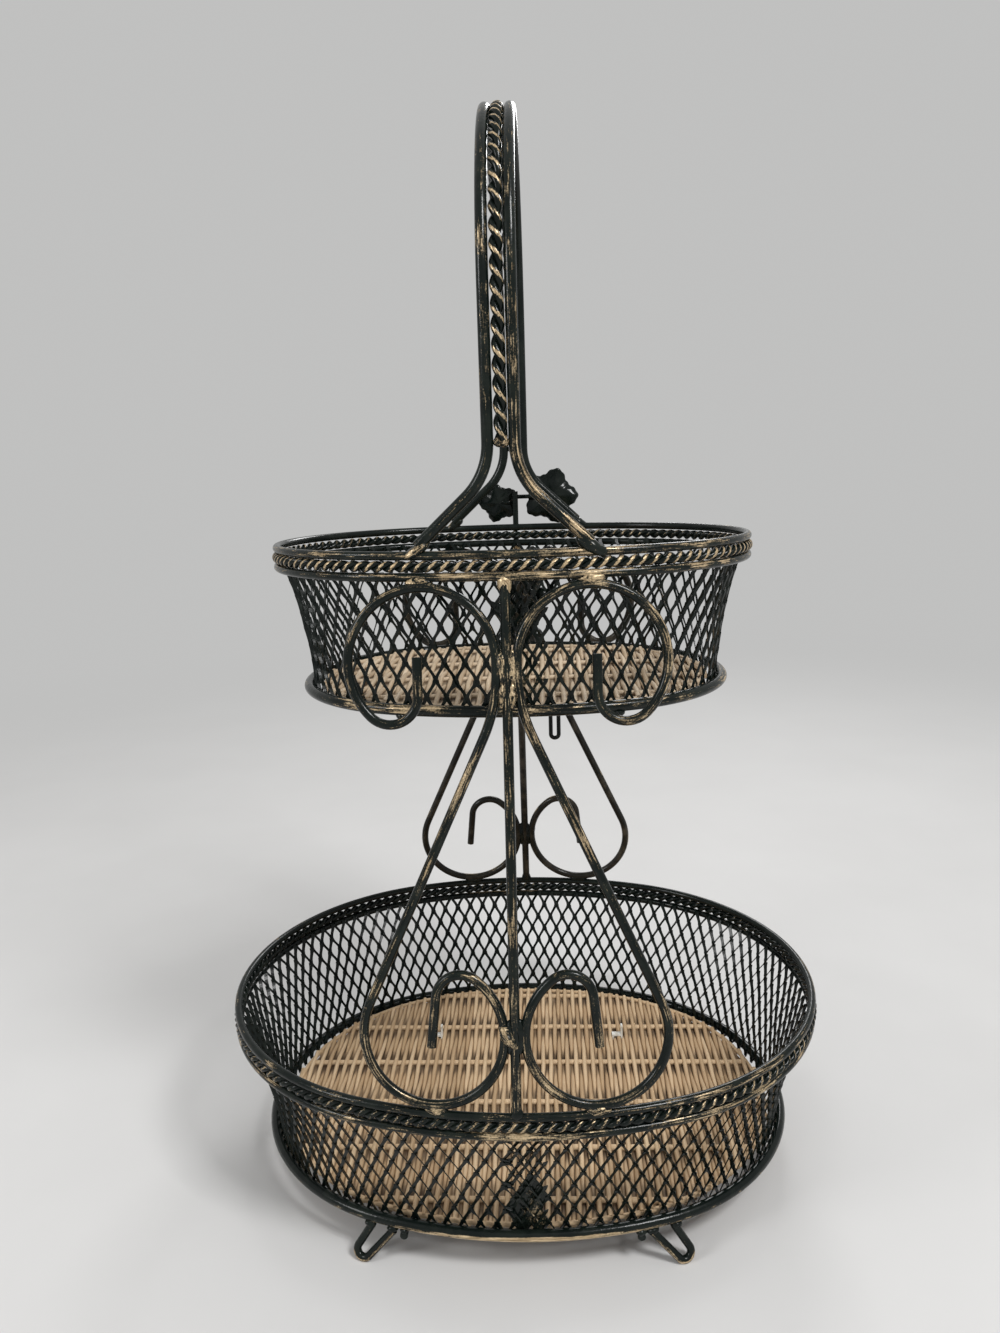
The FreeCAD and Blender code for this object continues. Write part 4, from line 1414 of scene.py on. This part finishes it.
@dataclass
class Leaf:
    """Lobed sheet leaf with a crinkled rim and a stalk."""

    name: str
    middle: Vector
    right: Vector
    up: Vector
    radius: float
    reach: float
    crinkle: float
    lobes: int = 5
    lobe_depth: float = 0.11
    tooth_depth: float = 0.02
    rings: int = 12
    spokes: int = 100
    sheet: float = mm(0.8)
    stalk: float = mm(1.1)
    stalk_sides: int = 8

    @property
    def out(self) -> Vector:
        """Direction square to the sheet."""
        return self.up.cross(self.right)

    def lift(self, share: float, angle: float) -> float:
        """How far the sheet stands out.

        Args:
            share: place between the middle and the rim.
            angle: place round the leaf.

        Returns:
            The distance.
        """
        bay = abs(math.sin(self.lobes * angle / 2))
        wave = 0.5 + 0.5 * math.sin(3 * angle + 7 * share + self.middle.x * 300)
        return self.crinkle * (0.35 * bay * share + (0.25 + 0.75 * wave) * share ** 3)

    def point(self, share: float, angle: float) -> Vector:
        """A point in the middle of the sheet.

        Args:
            share: place between the middle and the rim.
            angle: place round the leaf.

        Returns:
            The point.
        """
        lobe = self.lobe_depth * math.cos(self.lobes * angle)
        edge = 0.87 + lobe + self.tooth_depth * math.cos(4 * self.lobes * angle)
        flat = self.right * math.cos(angle) + self.up * math.sin(angle)
        return self.middle + flat * (self.radius * share * edge) + self.out * self.lift(share, angle)

    def add_sheet(self, points: list[Vector], faces: list[tuple[int, ...]]) -> None:
        """Adds both faces of the sheet and the rim between them.

        Args:
            points: the leaf's points, still empty.
            faces: the leaf's faces, still empty.
        """
        out, count = self.out * (self.sheet / 2), self.spokes
        for half in (-1, 1):
            start = len(points)
            points.append(self.middle + out * half)
            for ring in range(1, self.rings + 1):
                points.extend(self.point(ring / self.rings, math.tau * spoke / count) + out * half
                              for spoke in range(count))
            for spoke in range(count):
                after = (spoke + 1) % count
                fan = [(start, start + 1 + spoke, start + 1 + after)]
                for ring in range(self.rings - 1):
                    low = start + 1 + ring * count
                    fan.append((low + spoke, low + count + spoke, low + count + after, low + after))
                faces.extend(fan if half < 0 else [face[::-1] for face in fan])
        rim = 1 + (self.rings - 1) * count
        other = 1 + self.rings * count
        for spoke in range(count):
            after = (spoke + 1) % count
            faces.append((rim + spoke, rim + other + spoke, rim + other + after, rim + after))

    def add_stalk(self, points: list[Vector], faces: list[tuple[int, ...]]) -> None:
        """Adds the stalk, a closed oval bar from the stem to the leaf's middle.

        Args:
            points: the leaf's points so far.
            faces: the leaf's faces so far.
        """
        start, sides = len(points), self.stalk_sides
        out = (self.out * (self.sheet / 2)).normalized()
        for place in (self.middle - self.right * self.reach, self.middle):
            for side in range(sides):
                angle = math.tau * side / sides
                points.append(place + self.up * (self.stalk * math.cos(angle))
                              + out * (self.stalk / 2 * math.sin(angle)))
        for side in range(sides):
            after = (side + 1) % sides
            faces.append((start + side, start + sides + side, start + sides + after, start + after))
        faces.append(tuple(range(start, start + sides)))
        faces.append(tuple(range(start + 2 * sides - 1, start + sides - 1, -1)))

    def build(self, finish: bpy.types.Material) -> None:
        """Makes the leaf and its stalk.

        Args:
            finish: its material.
        """
        points: list[Vector] = []
        faces: list[tuple[int, ...]] = []
        self.add_sheet(points, faces)
        self.add_stalk(points, faces)
        piece = add_piece("crinkled_" + self.name, points, faces, finish, smooth=True)
        settle(piece, (self.name,))


@dataclass
class Wires:
    """Solids that stay as they are and only take a finish."""

    finishes: dict[str, tuple[str, ...]]

    def dress(self, materials: dict[str, bpy.types.Material]) -> None:
        """Gives each solid its finish.

        Args:
            materials: the finishes by name.
        """
        for label, nodes in self.finishes.items():
            for node in nodes:
                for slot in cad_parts[node].material_slots:
                    slot.material = materials[label]
                log.info("%s: %s", node, label)


@dataclass(frozen=True)
class Lamp:
    """Square soft lamp, in metres and watts."""

    name: str
    place: tuple[float, float, float]
    size: float
    power: float


@dataclass
class Studio:
    """Floor, lights and camera."""

    eye: Vector = Vector((mm(15.400), mm(-461.254), mm(331.275)))
    pitch: float = math.radians(11.3197)
    heading: float = math.radians(2.7485)
    roll: float = math.radians(-1.7363)
    focal_pixels: float = 1000.0
    frame_pixels: float = 1333.0
    sensor: float = 36.0
    room: Colour = (0.53, 0.53, 0.525)
    floor_dark: Colour = (0.60, 0.595, 0.59)
    floor_pale: Colour = (0.66, 0.655, 0.65)
    floor_radius: float = 6.0
    floor_drop: float = mm(0.05)
    fade_start: float = 0.35
    fade_end: float = 1.5
    aim: Vector = Vector((0, 0, 0.22))
    lamps: tuple[Lamp, ...] = (Lamp("key", (0.75, -0.75, 1.35), 0.36, 16.0),
                               Lamp("fill", (-1.1, -0.7, 0.8), 0.4, 6.0),
                               Lamp("behind", (0.3, 1.2, 1.0), 0.4, 5.0))

    def floor_finish(self) -> bpy.types.Material:
        """Pale matt floor that fades into the room's colour.

        Returns:
            The material.
        """
        material, graph, shader = new_material("pale_floor")
        place = graph.place()
        graph.feed_all(shader, {
            "Base Color": graph.blend(graph.noise(place, 9.0, 4.0), self.floor_dark, self.floor_pale),
            "Roughness": 0.85})
        ray = graph.add("ShaderNodeLightPath").outputs
        seen = graph.math("MAXIMUM", graph.math("MAXIMUM", ray["Is Camera Ray"], ray["Is Glossy Ray"]),
                          ray["Is Transmission Ray"])
        far = graph.times(graph.ease(graph.vector("LENGTH", place), self.fade_start, self.fade_end), seen)
        glow = graph.first("ShaderNodeEmission", {"Color": (*self.room, 1.0)})
        mixed = graph.first("ShaderNodeMixShader", {0: far, 1: shader.outputs[0], 2: glow})
        graph.feed(graph.tree.nodes["Material Output"].inputs["Surface"], mixed)
        return material

    def build_floor(self) -> None:
        """Wide round floor, just under the feet."""
        count, radius = 96, self.floor_radius
        angles = [math.tau * i / count for i in range(count)]
        ring = [Vector((radius * math.cos(a), radius * math.sin(a), -self.floor_drop)) for a in angles]
        floor = add_piece("floor", ring, [tuple(range(count))], self.floor_finish())

    def build_lights(self) -> None:
        """Soft key from the upper right, a fill from the left, a weak lamp behind and an even room."""
        scene = bpy.context.scene
        for lamp in self.lamps:
            light = bpy.data.lights.new(lamp.name, "AREA")
            light.size = lamp.size
            light.energy = lamp.power
            holder = bpy.data.objects.new(lamp.name, light)
            holder.location = lamp.place
            holder.rotation_euler = (self.aim - Vector(lamp.place)).to_track_quat("-Z", "Y").to_euler()
            scene.collection.objects.link(holder)
        world = bpy.data.worlds.new("room")
        world.use_nodes = True
        world.node_tree.nodes["Background"].inputs["Color"].default_value = (*self.room, 1.0)
        scene.world = world
        scene.view_settings.view_transform = "Standard"

    def build_camera(self) -> None:
        """Camera at the photograph's place."""
        sin_p, cos_p = math.sin(self.pitch), math.cos(self.pitch)
        sin_h, cos_h = math.sin(self.heading), math.cos(self.heading)
        sin_r, cos_r = math.sin(self.roll), math.cos(self.roll)
        right = Vector((cos_h, sin_h, 0.0))
        up = Vector((-sin_p * sin_h, sin_p * cos_h, cos_p))
        back = right.cross(up)
        rolled_right = right * cos_r + up * sin_r
        rolled_up = up * cos_r - right * sin_r
        camera = bpy.data.cameras.new("camera")
        camera.sensor_width = self.sensor
        camera.lens = self.sensor * self.focal_pixels / self.frame_pixels
        camera.clip_start = 0.01
        holder = bpy.data.objects.new("camera", camera)
        turn = Matrix((rolled_right, rolled_up, back)).transposed().to_4x4()
        holder.matrix_world = Matrix.Translation(self.eye) @ turn
        bpy.context.scene.collection.objects.link(holder)
        bpy.context.scene.camera = holder


def make_finishes() -> dict[str, bpy.types.Material]:
    """All the basket's finishes.

    Returns:
        The materials by name.
    """
    finishes = (
        BrushedPaint("rim_paint", 0.25),
        BrushedPaint("lower_rim_paint", 0.18),
        BrushedPaint("under_rim_paint", 0.22, centre=0.6),
        BrushedPaint("base_ring_paint", 0.0, GoldSide.LOW, centre=2.0, spread=mm(85)),
        BrushedPaint("scroll_paint", 0.22),
        # The far scrolls' paint and thin colours are lighter and warmer than the other wires': part painted
        # sheen of the light they catch, part dusty gold tone.
        BrushedPaint("far_scroll_paint_and_sheen", 0.32, paint=(0.012, 0.0115, 0.009), thin=(0.06, 0.05, 0.036)),
        BrushedPaint("handle_paint", 0.2),
        BrushedPaint("rope_paint", 0.4, GoldSide.CREST),
        BrushedPaint("dark_rope_paint", 0.14, GoldSide.CREST, centre=0.6),
        BrushedPaint("mesh_paint", 0.04),
        BrushedPaint("foot_paint", 0.2, GoldSide.LOW),
        BrushedPaint("weld_paint", 0.38),
        BrushedPaint("post_head_paint", 0.6),
        BrushedPaint("ornament_paint", 0.16),
        CaneFinish(),
        CaneFinish("pale_cane", pale=(0.66, 0.53, 0.38), deep=(0.46, 0.345, 0.225)),
        StrapFinish())
    return {finish.name: finish.material() for finish in finishes}


def build_leaves(lean: Vector, finish: bpy.types.Material) -> None:
    """Makes the three leaves at their solids' places.

    Args:
        lean: the way that the low leaf's back leans, along the front post.
        finish: their material.
    """
    for name, hand, up, radius, reach, crinkle in (
            ("leaf_upper_left", -1, UP, mm(11), mm(9), mm(2.0)),
            ("leaf_upper_right", 1, UP, mm(15.5), mm(19), mm(2.6)),
            ("leaf_low", 1, lean, mm(15.5), mm(17.5), mm(0.9))):
        low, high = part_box(name)
        middle = (low + high) / 2
        middle.x = high.x - radius if hand > 0 else low.x + radius
        Leaf(name, middle, Vector((hand, 0, 0)), up * hand, radius, reach, crinkle).build(finish)


def main() -> None:
    """Builds the basket's looks and the studio."""
    logging.basicConfig(level=logging.INFO, format="%(name)s: %(message)s")
    studio = Studio()
    studio.build_floor()
    studio.build_lights()
    studio.build_camera()
    materials = make_finishes()
    lower = Tier("lower", Oval(mm(139.5), mm(114), mm(5)), base_inset=mm(13), top_z=mm(82.2),
                 base_z=mm(18.0), cross_x=mm(50), seed=7, clog=(mm(11.3), 0.0, mm(18.5)), clog_size=mm(8),
                 columns_pitch=mm(7.15), rows=9, strand=mm(1.7), right_tilt=18.0, left_tilt=-50.0,
                 seam=mm(-7))
    upper = Tier("upper", Oval(mm(106), mm(84), mm(4)), base_inset=mm(10.4), top_z=mm(298.7),
                 base_z=mm(235.2), cross_x=mm(44), seed=11, clog=(mm(-40), 0.0, mm(4)), clog_size=mm(3),
                 columns_pitch=mm(8.3), rows=8, strand=mm(1.55), right_tilt=-10.0, left_tilt=34.0,
                 seam=mm(-5))
    for tier, rope, reeds in ((lower, "dark_rope_paint", "peeled_cane"), (upper, "rope_paint", "pale_cane")):
        tier.build_rope(materials[rope])
        tier.build_wall(materials["mesh_paint"])
        tier.build_mat(materials[reeds])
    rope_low, rope_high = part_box("handle_rope")
    handle = Handle(rope_high.y - HANDLE_ROPE / 2, rope_high.z - HANDLE_ROPE / 2, rope_low.z)
    handle.build_rope(materials["rope_paint"])
    welds = Welds(lower, upper, handle)
    welds.build(materials)
    front = 1
    build_leaves(welds.post(front)[1], materials["ornament_paint"])
    sides = [(side, hand) for side in ("back", "front") for hand in ("left", "right")]
    Wires({
        "rim_paint": ("upper_rim_top_ring", "upper_base_ring"),
        "lower_rim_paint": ("lower_rim_top_ring",),
        "under_rim_paint": ("lower_rim_under_ring", "upper_rim_under_ring"),
        "base_ring_paint": ("lower_base_ring",),
        "scroll_paint": ("back_post", "back_scroll_left", "back_scroll_right"),
        "far_scroll_paint_and_sheen": ("front_post", "front_scroll_left", "front_scroll_right"),
        "handle_paint": ("handle_wire_left", "handle_wire_right"),
        "foot_paint": tuple(f"foot_{side}_{hand}" for side, hand in sides),
        "mesh_paint": ("lower_cross_wires", "upper_cross_wires"),
        "ornament_paint": ("vine_stem", "grape_bunch", "tendril"),
        "white_strap": ("lower_mat_ties",),
    }).dress(materials)


if __name__ == "__main__":
    main()
